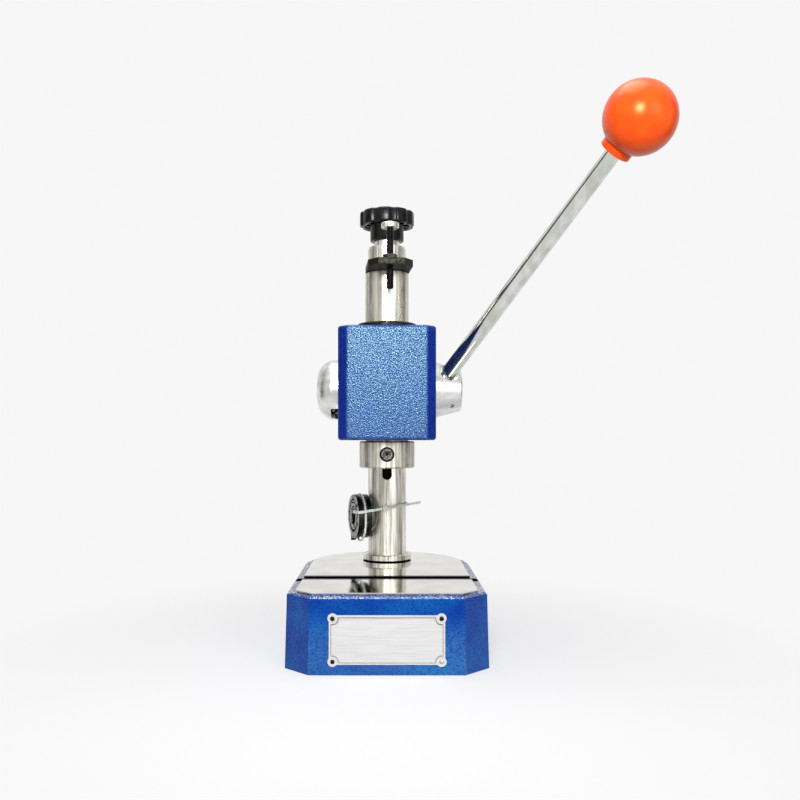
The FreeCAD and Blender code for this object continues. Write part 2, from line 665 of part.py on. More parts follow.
# One tooth points at the ram, so the first space lies half a pitch to its side.
first_space = math.pi + math.pi / teeth
sketch = new_sketch(shaft, "tooth_space", "YZ_Plane")
lower = [flank(r, -1, first_space) for r in (r_root, r_base, (r_base + r_tip) / 2, r_tip)]
upper = [flank(r, 1, first_space) for r in (r_root, r_base, (r_base + r_tip) / 2, r_tip)]
beyond = [p * ((r_tip + 1) / r_tip) for p in (lower[3], upper[3])]
pieces = [Part.LineSegment(upper[0], lower[0]), Part.LineSegment(lower[0], lower[1]),
          Part.Arc(lower[1], lower[2], lower[3]), Part.LineSegment(lower[3], beyond[0]),
          Part.LineSegment(beyond[0], beyond[1]), Part.LineSegment(beyond[1], upper[3]),
          Part.Arc(upper[3], upper[2], upper[1]), Part.LineSegment(upper[1], upper[0])]
for piece in pieces:
    sketch.addGeometry(piece)
space = pocket(shaft, sketch, "first_tooth_space", both=True)
cut_teeth = shaft.newObject("PartDesign::PolarPattern", "teeth")
cut_teeth.Originals = [space]
cut_teeth.Axis = (sketch, ["N_Axis"])
cut_teeth.Angle = 360
bind(cut_teeth, Occurrences=d.tooth_count)
shaft.Tip = cut_teeth
sketch = new_sketch(shaft, "shaft_profile")
outline(sketch, [(-arbor_end, ZERO), (spigot_end, ZERO),
                 (spigot_end, spigot), (hub_start, spigot), (hub_start, shaft_radius),
                 (-head_half - 1, shaft_radius), (-head_half - 1, arbor), (-arbor_end, arbor)])
revolve(shaft, sketch, "H_Axis", "shaft_turning")
place(shaft, 0, pinion_back, d.pinion_height)

cap_cavity = d.cap_diameter / 2 - d.cap_wall
cap_depth = d.spring_inset + d.strip_width + d.spring_inset
arbor_room = arbor + d.air * 5
cap = axis_piece("spring_cap", [
    (-head_half, cap_cavity), (-head_half, d.cap_diameter / 2),
    (-head_half - d.cap_neck, d.cap_diameter / 2, d.cap_dome),
    (-head_half - d.cap_length, d.cap_face / 2), (-head_half - d.cap_length, ZERO),
    (-head_half - d.cap_length + d.cap_wall, ZERO),
    (-head_half - d.cap_length + d.cap_wall, arbor_room),
    (-head_half - cap_depth, arbor_room), (-head_half - cap_depth, cap_cavity)])
sketch = new_sketch(cap, "notch_plan", "YZ_Plane", lift=-head_half)
turn = lock_angle
across, deep = d.notch_width / 2, d.cap_diameter / 2 - d.notch_depth
ends = []
for along, aside in ((deep, -1), (deep + d.notch_depth * 2, -1), (deep + d.notch_depth * 2, 1),
                     (deep, 1)):
    ends.append((along * -math.cos(turn) + across * (aside * math.sin(turn)),
                 along * math.sin(turn) + across * (aside * math.cos(turn))))
outline(sketch, ends)
notch = pocket(cap, sketch, "notch", d.cap_neck)
notches = cap.newObject("PartDesign::PolarPattern", "notches")
notches.Originals = [notch]
notches.Axis = (sketch, ["N_Axis"])
notches.Angle = 360
notches.Occurrences = 2
cap.Tip = notches

place(socket_screw("cap_lock_screw", d.lock_screw, d.lock_screw * 2.2, d.lock_screw * 1.7,
                   d.lock_screw, d.lock_screw * 0.8),
      -head_half, lock_y, lock_z, TO_MINUS_X)

hub = axis_piece("lever_hub", [
    (hub_start, spigot + d.seat), (hub_start, d.hub_large / 2),
    (d.hub_outer - 1, d.hub_small / 2 + 0.25), (d.hub_outer, d.hub_small / 2 - 0.75),
    (d.hub_outer, ZERO), (spigot_end + d.seat, ZERO), (spigot_end + d.seat, spigot + d.seat)])

# ---- lever: it leans toward the operator and splays out to the side

lean, splay = (math.radians(SIZES[a]) for a in ("lever_lean", "lever_splay"))
ALONG = V(math.sin(splay), -math.cos(splay) * math.sin(lean), math.cos(splay) * math.cos(lean))
ALONG_TURN = FreeCAD.Rotation(V(0, 0, 1), ALONG)


def lever_sketch(name, start, diameter):
    """A circle across the lever's line in the hub, a distance out from the pinion's axis."""
    sketch = new_sketch(hub, name)
    at = V(float(d.lever_root), 0, 0) + ALONG * float(start)
    sketch.AttachmentOffset = FreeCAD.Placement(at, ALONG_TURN)
    circle(sketch, diameter)
    return sketch


pocket(hub, lever_sketch("lever_hole_circle", d.lever_start, d.lever_diameter + d.seat * 2),
       "lever_hole", toward_normal=True)
hub_face = float(d.hub_large) / 2 * 0.86 / math.cos(splay)
pocket(hub, lever_sketch("lever_spot_circle", hub_face - float(d.spot_depth), d.lever_spot),
       "lever_spot", toward_normal=True)
pin_x = d.hub_outer - d.pin_inset
PIN_TURN = FreeCAD.Rotation(V(0, 0, 1), V(0, math.cos(lean), math.sin(lean)))
for piece, name in ((hub, "hub_pin_hole"), (shaft, "shaft_pin_hole")):
    sketch = new_sketch(piece, name + "_circle")
    sketch.AttachmentOffset = FreeCAD.Placement(V(float(pin_x), 0, 0), PIN_TURN)
    circle(sketch, d.hub_pin + d.seat * 2)
    pocket(piece, sketch, name, both=True)
pin_length = d.hub_small / 2 * 0.98
place(turned("hub_pin", tube_corners(d.hub_pin / 2 - 0.8, d.hub_pin / 2, -pin_length,
                                     pin_length)),
      pin_x, pinion_back, d.pinion_height, PIN_TURN)

bar_radius, tip_end = d.lever_diameter / 2, d.lever_tip / 2
bar_end = d.lever_length - d.ball_neck_reach + d.ball_socket
place(turned("lever_bar", [
    (ZERO, d.lever_start + d.seat), (bar_radius - 1, d.lever_start + d.seat),
    (bar_radius, d.lever_start + d.seat + 1), (bar_radius, size(hub_face)),
    (tip_end, bar_end - d.ball_socket), (tip_end, bar_end - 1), (tip_end - 1, bar_end),
    (ZERO, bar_end)]),
      d.lever_root, pinion_back, d.pinion_height, ALONG_TURN)

ball_radius, neck_radius = d.ball_diameter / 2, d.ball_neck / 2
neck_join = math.sqrt(float(ball_radius) ** 2 - float(neck_radius) ** 2)
ball_hole = tip_end + d.seat
hole_top = -d.ball_neck_reach + d.ball_socket + 0.5
place(turned("ball_knob", [
    (ball_hole, -d.ball_neck_reach), (neck_radius, -d.ball_neck_reach),
    (neck_radius, size(-neck_join), ball_radius), (ball_radius, ZERO, ball_radius),
    (ZERO, ball_radius), (ZERO, hole_top), (ball_hole, hole_top)]),
      *(a + b for a, b in zip((d.lever_root, pinion_back, d.pinion_height),
                              (d.lever_length * c for c in ALONG))), ALONG_TURN)

# ---- ram with its rack, nose ring and clamp screw

tool_radius = d.tool_bore / 2
spigot_radius = d.spigot_diameter / 2
ram = turned("ram", [
    (tool_radius, nose_bottom), (spigot_radius, nose_bottom), (spigot_radius, nose_top),
    (ram_radius, nose_top), (ram_radius, d.ram_top - 0.5), (ram_radius - 0.5, d.ram_top),
    (ZERO, d.ram_top), (ZERO, nose_bottom + d.tool_depth),
    (tool_radius, nose_bottom + d.tool_depth)])
rack_tip = d.pitch_line + d.tooth_module * 0.95
rack_root = d.pitch_line + d.tooth_module * -1.25
rack_start = d.pinion_height - rack_pitch * 2
rack_rise = rack_pitch * (d.rack_spaces - 1)
sketch = new_sketch(ram, "rack_flat", "YZ_Plane")
rectangle(sketch, rack_tip, rack_start - rack_pitch / 2, ram_radius + 1,
          rack_start + rack_rise + rack_pitch / 2)
pocket(ram, sketch, "rack_face", both=True)
sketch = new_sketch(ram, "rack_space", "YZ_Plane")
slope = math.tan(PRESSURE)
mid = rack_pitch / 4 + d.backlash / 4
root_half = mid - d.tooth_module * (1.25 * slope)
open_half = mid + (rack_tip - d.pitch_line + 0.5) * slope
outline(sketch, [(rack_root, rack_start - root_half), (rack_tip + 0.5, rack_start - open_half),
                 (rack_tip + 0.5, rack_start + open_half), (rack_root, rack_start + root_half)])
first_gap = pocket(ram, sketch, "first_rack_space", both=True)
rack = ram.newObject("PartDesign::LinearPattern", "rack")
rack.Originals = [first_gap]
rack.Direction = (sketch, ["V_Axis"])
bind(rack, Length=rack_rise, Occurrences=d.rack_spaces)
ram.Tip = rack
screw_height = nose_top - d.tool_screw_drop
sketch = new_sketch(ram, "tool_screw_circle", "XZ_Plane")
circle(sketch, d.tool_screw + d.seat * 2, 0, screw_height)
pocket(ram, sketch, "tool_screw_hole", toward_normal=True)
sketch = new_sketch(ram, "top_thread_circle", lift=d.ram_top)
circle(sketch, d.stop_plate_screw + d.seat * 2)
pocket(ram, sketch, "top_thread", d.stop_plate_screw * 2.75)

nose = turned("nose_ring", [
    (spigot_radius + d.seat, nose_bottom), (d.nose_diameter / 2 - d.nose_edge, nose_bottom),
    (d.nose_diameter / 2, nose_bottom + d.nose_edge),
    (d.nose_diameter / 2, nose_top - d.nose_edge),
    (d.nose_diameter / 2 - d.nose_edge, nose_top), (spigot_radius + d.seat, nose_top)])
sketch = new_sketch(nose, "nose_screw_circle", "XZ_Plane")
circle(sketch, d.tool_screw + d.seat * 2, 0, screw_height)
pocket(nose, sketch, "nose_screw_hole", toward_normal=True)

point = tool_radius + d.seat * 4
place(grub_screw("tool_clamp_screw", d.tool_screw, d.nose_diameter / 2 - point - d.grub_inset),
      0, -point, screw_height, TO_MINUS_Y)

# ---- stop plate, stop screw and lock nut, turned a little about the ram

SWING = FreeCAD.Rotation(V(0, 0, 1), SIZES["stop_turn"])
swing = math.radians(SIZES["stop_turn"])
stop_x, stop_y = d.stop_reach * math.sin(swing), d.stop_reach * -math.cos(swing)
stop = new_body("stop_plate")
sketch = new_sketch(stop, "stop_plan")
half = d.stop_width / 2
outline(sketch, [(-d.stop_nose / 2, -d.stop_front), (d.stop_nose / 2, -d.stop_front),
                 (half, -d.stop_front + d.stop_corner), (half, ZERO, half), (ZERO, half, half),
                 (-half, ZERO), (-half, -d.stop_front + d.stop_corner)])
pad(stop, sketch, d.stop_thick, "stop_sheet")
sketch = new_sketch(stop, "stop_hole_circles")
circle(sketch, d.stop_plate_screw + 0.6)
circle(sketch, d.stop_screw + d.air * 2, 0, -d.stop_reach)
pocket(stop, sketch, "stop_holes", toward_normal=True)
place(stop, 0, 0, d.ram_top, SWING)
place(socket_screw("stop_plate_screw", d.stop_plate_screw, d.stop_thick + d.plate_screw_grip,
                   d.stop_plate_screw * 1.5 + 1, d.stop_plate_screw, d.stop_plate_screw * 0.75),
      0, 0, stop_top)

stop_tip = head_top + d.stroke + d.seat
thread = d.stop_screw / 2
disc = d.stop_disc / 2
disc_low = d.stop_screw_top - d.stop_disc_thick
place(turned("stop_screw", [
    (ZERO, stop_tip), (thread - 1, stop_tip), (thread, stop_tip + 1), (thread, disc_low),
    (disc - 0.5, disc_low), (disc, disc_low + 0.5), (disc, d.stop_screw_top - 0.5),
    (disc - 0.5, d.stop_screw_top), (ZERO, d.stop_screw_top)]), stop_x, stop_y, 0, SWING)
lock = new_body("stop_lock_nut")
sketch = new_sketch(lock, "lock_nut_plan")
hexagon(sketch, d.lock_nut_flats)
pad(lock, sketch, d.lock_nut_height, "lock_nut_block")
sketch = new_sketch(lock, "lock_nut_circle")
circle(sketch, d.stop_screw + d.air * 2)
pocket(lock, sketch, "lock_nut_hole", toward_normal=True)
place(lock, stop_x, stop_y, stop_top, SWING)

# ---- flat spiral springs: half circles struck in turn from two centres half a pitch apart

def half_circle(centre, radius, upper):
    across, rise = V(radius, 0, 0), V(0, radius if upper else -radius, 0)
    ends = (centre + across, centre - across)
    first, last = ends if upper else ends[::-1]
    return Part.Arc(first, centre + rise, last).toShape()


def spiral_edge(radius, pitch, turns):
    edges = []
    for i in range(turns):
        edges.append(half_circle(V(0, 0, 0), radius - i * pitch, True))
        edges.append(half_circle(V(-pitch / 2, 0, 0), radius - (i + 0.5) * pitch, False))
    return edges


def spiral_strip(diameter):
    radius, pitch = float(diameter) / 2, SIZES["coil_pitch"]
    turns, thick = int(SIZES["coil_turns"]), SIZES["strip_thick"]
    outer, inner = (spiral_edge(r, pitch, turns) for r in (radius, radius - thick))
    end = radius - turns * pitch
    caps = [Part.LineSegment(V(r, 0, 0), V(r - thick, 0, 0)).toShape() for r in (radius, end)]
    wire = Part.Wire(Part.sortEdges(outer + inner + caps)[0])
    return Part.Face(wire).extrude(V(0, 0, SIZES["strip_width"]))


return_spring = shaped("return_spring", spiral_strip(cap_cavity * 2 - d.air * 2))
place(return_spring, -head_half - d.spring_inset, pinion_back, d.pinion_height, TO_MINUS_X)

coil_turn = math.radians(SIZES["coil_turn"])
OUTWARD = V(-math.cos(coil_turn), -math.sin(coil_turn), 0)
FORWARD = V(math.sin(coil_turn), -math.cos(coil_turn), 0)
COIL_TURN = FreeCAD.Rotation(V(0, 0, 1), SIZES["coil_turn"]).multiply(TO_MINUS_X)
tie_room = d.tie_slack + d.tie_thick + d.air
coil_near = column_radius + tie_room
coil_centre = V(0, float(d.column_back), float(d.table_height + d.coil_height))
coil_starts = {"spare_spring_near": coil_near,
               "spare_spring_far": coil_near + d.strip_width + d.coil_gap}
for label, start in coil_starts.items():
    coil = shaped(label, spiral_strip(d.coil_diameter))
    coil.Placement = FreeCAD.Placement(coil_centre + OUTWARD * float(start), COIL_TURN)


# ---- cable tie: a band round the column and through the coils, and a loop round the coils

def strap(path, thick, width):
    """A strap of the given section along a closed flat path, its width along Z."""
    faces = [Part.Face(path.makeOffset2D(side * thick / 2)) for side in (1, -1)]
    return faces[0].cut(faces[1]).extrude(V(0, 0, width))


tie_thick, tie_width = SIZES["tie_thick"], SIZES["tie_width"]
bend = float(column_radius) + SIZES["tie_slack"] + tie_thick / 2
stack_out = float(coil_near + d.strip_width * 2 + d.coil_gap) + SIZES["air"] + tie_thick / 2
stack_front = float(d.coil_diameter) / 2 + SIZES["air"] + tie_thick / 2
hole_mouth = OUTWARD * stack_out
outer_corner = OUTWARD * stack_out + FORWARD * stack_front
inner_corner = OUTWARD * bend + FORWARD * stack_front
touch = math.atan2(inner_corner.y, inner_corner.x) + math.acos(bend / inner_corner.Length)
touch_point = V(bend * math.cos(touch), bend * math.sin(touch), 0)
entry = OUTWARD * bend
mid_turn = (touch + math.pi + coil_turn) / 2
around = Part.Arc(touch_point, V(bend * math.cos(mid_turn), bend * math.sin(mid_turn), 0), entry)
legs = [entry, hole_mouth, outer_corner, inner_corner, touch_point]
path = Part.Wire([around.toShape()] + [Part.LineSegment(a, b).toShape()
                                       for a, b in zip(legs, legs[1:])])
band = strap(path, tie_thick, tie_width)
run = (touch_point - inner_corner).normalize()
along_run = FreeCAD.Rotation(V(1, 0, 0), run)
head_size = V(SIZES["tie_head"], SIZES["tie_head_thick"], SIZES["tie_head"])
outward_step = V(run.y, -run.x, 0)
tie_head = Part.makeBox(*head_size)
tie_head.Placement = FreeCAD.Placement(
    inner_corner + run * SIZES["tie_head_run"] + outward_step * (head_size.y - tie_thick / 2)
    + V(0, 0, (tie_width - head_size.z) / 2), along_run)
tail = Part.makeBox(SIZES["tie_tail"], tie_thick, tie_width)
tail.Placement = FreeCAD.Placement(
    inner_corner + run * (SIZES["tie_head_run"] + head_size.x - SIZES["seat"])
    + outward_step * (head_size.y - tie_thick / 2), along_run)
TILT = FreeCAD.Rotation(V(0, 1, 0), -SIZES["tie_tilt"])
tie_height = coil_centre.z + SIZES["tie_rise"]
tie = shaped("cable_tie_band", band.fuse([tie_head, tail]).removeSplitter())
tie.Placement = FreeCAD.Placement(V(0, float(d.column_back), tie_height - tie_width / 2), TILT)

loop_radius = float(d.coil_diameter) / 2 - tie_thick / 2
top, bottom = V(0, 0, 0), V(0, -SIZES["loop_drop"], 0)
side = V(loop_radius, 0, 0)
loop_path = Part.Wire([
    half_circle(top, loop_radius, True), Part.LineSegment(top - side, bottom - side).toShape(),
    half_circle(bottom, loop_radius, False), Part.LineSegment(bottom + side, top + side).toShape()])
loop = shaped("cable_tie_loop", strap(loop_path, tie_thick,
                                       SIZES["coil_gap"] - SIZES["loop_play"]))
loop_start = coil_near + d.strip_width + d.loop_play / 2
UPRIGHT = COIL_TURN.multiply(FreeCAD.Rotation(V(0, 0, 1), -90))
loop.Placement = FreeCAD.Placement(coil_centre + OUTWARD * float(loop_start), UPRIGHT)

# ---- checks and export

doc.recompute()
for thing in doc.Objects:
    if "Invalid" in thing.State or "Error" in thing.State:
        raise RuntimeError(f"{thing.Label} failed: {thing.State}")
    if thing.TypeId == "PartDesign::Pocket":
        if thing.Shape.Volume > thing.BaseFeature.Shape.Volume - 1e-3:
            raise RuntimeError(f"{thing.Label} cuts nothing")
for thing in finished:
    if thing.Shape.isNull() or not thing.Shape.isValid():
        raise RuntimeError(f"{thing.Label} has no valid shape")
os.makedirs("parts", exist_ok=True)
for thing in finished:
    thing.Shape.exportStep(f"parts/{thing.Label}.step")
    box = thing.Shape.BoundBox
    print(f"{thing.Label:20} solids {len(thing.Shape.Solids)}  volume {thing.Shape.Volume:10.0f}  "
          f"x {box.XMin:7.1f} {box.XMax:7.1f}  y {box.YMin:7.1f} {box.YMax:7.1f}  "
          f"z {box.ZMin:7.1f} {box.ZMax:7.1f}")
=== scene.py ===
# %% [markdown]
# # A lever hand press
# This notebook dresses a small bench press: a cast-iron base with a ground table, a steel column, a
# painted head that carries a rack-toothed ram, and a chromed lever with a ball on its end.
# The mechanism comes from the CAD model, which is loaded first and never moved. Blender adds what
# the eye needs: finishes, fine pieces, light and a camera. All lengths are in metres.

import math

import bmesh
import bpy
from mathutils import Matrix, Vector


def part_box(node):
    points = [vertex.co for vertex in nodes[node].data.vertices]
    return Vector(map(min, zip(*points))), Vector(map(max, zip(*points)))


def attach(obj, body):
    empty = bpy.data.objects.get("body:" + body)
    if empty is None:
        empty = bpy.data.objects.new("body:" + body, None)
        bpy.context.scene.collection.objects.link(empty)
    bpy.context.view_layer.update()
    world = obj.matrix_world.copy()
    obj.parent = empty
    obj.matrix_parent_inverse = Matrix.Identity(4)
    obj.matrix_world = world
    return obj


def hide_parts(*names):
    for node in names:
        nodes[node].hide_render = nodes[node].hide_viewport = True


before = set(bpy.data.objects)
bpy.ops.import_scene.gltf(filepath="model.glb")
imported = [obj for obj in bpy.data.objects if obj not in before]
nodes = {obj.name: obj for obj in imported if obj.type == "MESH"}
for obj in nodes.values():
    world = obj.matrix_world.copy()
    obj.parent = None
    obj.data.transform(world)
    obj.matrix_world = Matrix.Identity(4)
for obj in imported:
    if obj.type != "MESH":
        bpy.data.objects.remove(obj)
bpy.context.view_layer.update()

# %% [markdown]
# ## The camera
# A product picture is taken from straight ahead, with the lens level, so that upright edges stay
# upright. It stands at the height of the head's lower edge. The press is moved within the picture
# by shifting the lens, as a view camera does, and not by tilting, which would make the column lean.

# %% Camera
PICTURE = 800                   # the picture's width and height, in pixels
SHIFT_RIGHT, SHIFT_UP = 13, 35  # how far the lens is shifted, in pixels
LENS_HEIGHT = 0.1802            # a little above the head's lower edge
DISTANCE = 0.711                # from the lens to the ram's axis

scene = bpy.context.scene
camera = bpy.data.objects.new("camera", bpy.data.cameras.new("camera"))
scene.collection.objects.link(camera)
scene.camera = camera
camera.location = (0, -DISTANCE, LENS_HEIGHT)
camera.rotation_euler = (math.radians(90), 0, 0)
camera.data.lens = 38.25
camera.data.shift_x = SHIFT_RIGHT / PICTURE
camera.data.shift_y = SHIFT_UP / PICTURE
scene.view_settings.view_transform = "Standard"
print("lens", camera.data.lens, "mm, distance", DISTANCE, "m")

# %% [markdown]
# ## Small helpers
# Colours are written as sRGB hex codes, as a paint chart gives them, but shaders work in linear
# light, so one function turns a code into linear numbers. Node trees are built in the script. One
# function adds a node: it takes the node's kind, its inputs, its settings and, for a colour ramp,
# its stops. Whatever feeds an input can be a number, a colour, a node or one of a node's outputs.

# %% Colours and nodes
def linear(code):
    """An sRGB hex colour as the linear colour that the shaders work in."""
    parts = [int(code[i:i + 2], 16) / 255 for i in (1, 3, 5)]
    return (*(p / 12.92 if p <= 0.04045 else ((p + 0.055) / 1.055) ** 2.4 for p in parts), 1)


def output_of(source):
    """A node's first output that is switched on. Anything but a node comes back as it is."""
    if isinstance(source, bpy.types.Node):
        return next(output for output in source.outputs if output.enabled)
    return source


def add(tree, kind, inputs=(), stops=(), **settings):
    """One node. Inputs go by name in a dict or in order in a tuple; a list joins several to one."""
    made = tree.nodes.new(kind if "Node" in kind else "ShaderNode" + kind)
    for name, value in settings.items():
        setattr(made, name, value)
    for i, (at, colour) in enumerate(stops):
        stop = made.color_ramp.elements[i] if i < 2 else made.color_ramp.elements.new(at)
        stop.position, stop.color = at, linear(colour)
    in_order = [socket for socket in made.inputs if socket.enabled]
    for key, value in inputs.items() if isinstance(inputs, dict) else enumerate(inputs):
        socket = made.inputs[key] if isinstance(key, str) else in_order[key]
        for source in value if isinstance(value, list) else [value]:
            if isinstance(output_of(source), bpy.types.NodeSocket):
                tree.links.new(output_of(source), socket)
            else:
                socket.default_value = value
    return made


print("middle grey #808080 is", round(linear("#808080")[0], 3), "in linear light")

# %% [markdown]
# ## The studio
# The press stands on a pale sweep of paper. Flat painted faces that look at the camera mirror what
# is behind it, so a small lamp stands just above the camera, and that is what makes the hammered
# paint glitter. A softbox from the right and a large one overhead light the rest. Area lamps suit
# this, because a broad lamp draws soft shadows and broad highlights.

# %% Lamps
def link_mesh(name, mesh, *materials):
    """A new object with that mesh and those finishes."""
    made = bpy.data.objects.new(name, mesh)
    scene.collection.objects.link(made)
    for finish in materials:
        mesh.materials.append(finish)
    return made


def softbox(name, place, aim, width, height, power):
    """A broad lamp of that width and height in metres and that power in watts, aimed at a point."""
    lamp = bpy.data.lights.new(name, "AREA")
    lamp.shape, lamp.size, lamp.size_y, lamp.energy = "RECTANGLE", width, height, power
    made = bpy.data.objects.new(name, lamp)
    scene.collection.objects.link(made)
    made.location = place
    made.rotation_euler = (Vector(aim) - Vector(place)).to_track_quat("-Z", "Y").to_euler()


softbox("right_softbox", (0.95, -1.5, 0.6), (0, 0, 0.25), 0.8, 0.9, 6)
softbox("camera_lamp", (-0.03, -0.78, 0.5), (0, 0, 0.2), 0.2, 0.2, 6.2)
softbox("top_softbox", (-0.1, 0.0, 1.6), (0, 0.05, 0.2), 1.2, 1.0, 12)

# %% [markdown]
# The background is white because its colour is, and not because more light falls on the press. A
# Light Path node tells which rays look at the background: straight from the camera, off metal or
# through something clear. Those meet plain white. All other rays light the press, and they meet a
# dimmer room. Near the press the paper is plain and matt, so that it takes the press's shadow, and
# further out it turns into the white, so that no edge or horizon shows.

# %% Paper
WHITE = "#F7F7F8"
PLAIN_TO, WHITE_FROM = 0.1, 0.42     # how far from the ram's axis the paper starts and ends to fade


def seen_or_dim(tree, dim):
    """A strength of one for rays that show the background, and a lower one for those that light."""
    path = add(tree, "LightPath").outputs
    shown = add(tree, "Math", (path["Is Camera Ray"], path["Is Glossy Ray"]), operation="MAXIMUM")
    shown = add(tree, "Math", (shown, path["Is Transmission Ray"]), operation="MAXIMUM")
    return add(tree, "MapRange", {"Value": shown, "To Min": dim})


paper = bpy.data.materials.new("white_background_paper")
paper.use_nodes = True
tree = paper.node_tree
matt = tree.nodes["Principled BSDF"]
matt.inputs["Base Color"].default_value = linear("#F2F2F3")
matt.inputs["Roughness"].default_value = 0.9
matt.inputs["Specular IOR Level"].default_value = 0.0
glow = add(tree, "Emission", {"Color": linear(WHITE), "Strength": seen_or_dim(tree, 0.3)})
place = add(tree, "TexCoord").outputs["Object"]
away = add(tree, "VectorMath", (place,), operation="LENGTH")
far = add(tree, "MapRange", (away, PLAIN_TO, WHITE_FROM, 0.55), interpolation_type="SMOOTHSTEP")
both = add(tree, "MixShader", (far, matt, glow))
tree.links.new(both.outputs[0], tree.nodes["Material Output"].inputs["Surface"])

REACH = 9
sheet = bpy.data.meshes.new("paper_sheet")
sheet.from_pydata([(-REACH, -REACH, 0), (REACH, -REACH, 0), (REACH, REACH, 0), (-REACH, REACH, 0)],
                  [], [(0, 1, 2, 3)])
link_mesh("paper_sheet", sheet, paper)
print("paper", 2 * REACH, "m wide")

# %% [markdown]
# Round steel in a white room looks like white plastic. Photographers stand dark cards beside it,
# out of the picture, and the steel mirrors them as its darker edges. The slanted corners of the
# castings mirror the same cards and stay a deep blue.

# %% Grey cards and room
card_grey = bpy.data.materials.new("grey_studio_card")
card_grey.use_nodes = True
card_grey.node_tree.nodes["Principled BSDF"].inputs["Base Color"].default_value = linear("#6E6C66")
card_mesh = bpy.data.meshes.new("studio_cards")
corners, faces = [], []
for x, height in ((-0.75, 0.9), (0.8, 0.8)):
    faces.append(tuple(range(len(corners), len(corners) + 4)))
    corners += [(x, -0.15, 0), (x, 0.2, 0), (x, 0.2, height), (x, -0.15, height)]
card_mesh.from_pydata(corners, [], faces)
cards = link_mesh("studio_cards", card_mesh, card_grey)
cards.visible_camera = False

room = bpy.data.worlds.new("studio_room")
scene.world = room
room.use_nodes = True
tree = room.node_tree
tree.nodes.clear()
sky = add(tree, "Background", {"Color": linear(WHITE), "Strength": seen_or_dim(tree, 0.15)})
add(tree, "OutputWorld", {"Surface": sky})
print("cards", len(faces), "world", room.name)

# %% [markdown]
# ## Finishes
# Every finish is a small tree of nodes that reads Object coordinates. The pieces sit at the origin
# with their place in their mesh, so one metre in the tree is one metre on the press, and a grain of
# half a millimetre is written as half a millimetre. Image textures could do the same, but they need
# unwrapping, and a solid pattern runs through corners and bores without a seam.

# %% A finish
def new_finish(name, colour, **sockets):
    """A material with one Principled shader, and what the next nodes need: tree, shader, place."""
    made = bpy.data.materials.new(name)
    made.use_nodes = True
    tree = made.node_tree
    shader = tree.nodes["Principled BSDF"]
    shader.inputs["Base Color"].default_value = linear(colour)
    for socket, value in sockets.items():
        shader.inputs[socket.replace("_", " ")].default_value = value
    return made, tree, shader, add(tree, "TexCoord").outputs["Object"]


def wire(tree, shader, **sources):
    """Links nodes to the shader's sockets, which are named with _ for a space."""
    for socket, source in sources.items():
        tree.links.new(output_of(source), shader.inputs[socket.replace("_", " ")])


print("materials so far", len(bpy.data.materials))

# %% [markdown]
# Two patterns do most of the work: random grain of a size in millimetres, and a mask that is one
# between two limits. A mask chooses between finishes within one material, as tape does when a
# casting is sprayed.

# %% Patterns
def grain(tree, place, mm, detail=3, drawn_out=(1, 1, 1)):
    """Random grain of that size in millimetres, drawn out along an axis where that is under 1."""
    stretched = add(tree, "Mapping", {"Vector": place, "Scale": drawn_out})
    return add(tree, "TexNoise", {"Vector": stretched, "Scale": 1000 / mm, "Detail": detail})


def inside(tree, value, low, high, soft=0.0002):
    """One where a value in metres lies between two limits, and nought outside them."""
    off = add(tree, "Math", (value, (low + high) / 2), operation="SUBTRACT")
    off = add(tree, "Math", (off,), operation="ABSOLUTE")
    half = (high - low) / 2
    return add(tree, "MapRange", (off, half + soft, half - soft))


def mottled_finish(name, colour, mm, stops, detail=3, uneven=None, **sockets):
    """A finish whose colour wanders in patches of that size. Uneven gives the gloss its patches:
    their size in millimetres, and the roughness of the shiniest and the dullest."""
    made, tree, shader, place = new_finish(name, colour, **sockets)
    wire(tree, shader, Base_Color=add(tree, "ValToRGB", (grain(tree, place, mm, detail),), stops))
    if uneven:
        patch, shiny, dull = uneven
        wire(tree, shader,
             Roughness=add(tree, "MapRange", (grain(tree, place, patch), 0.3, 0.7, shiny, dull)))
    return made


print("grain of 1.2 mm is noise at scale", round(1000 / 1.2))
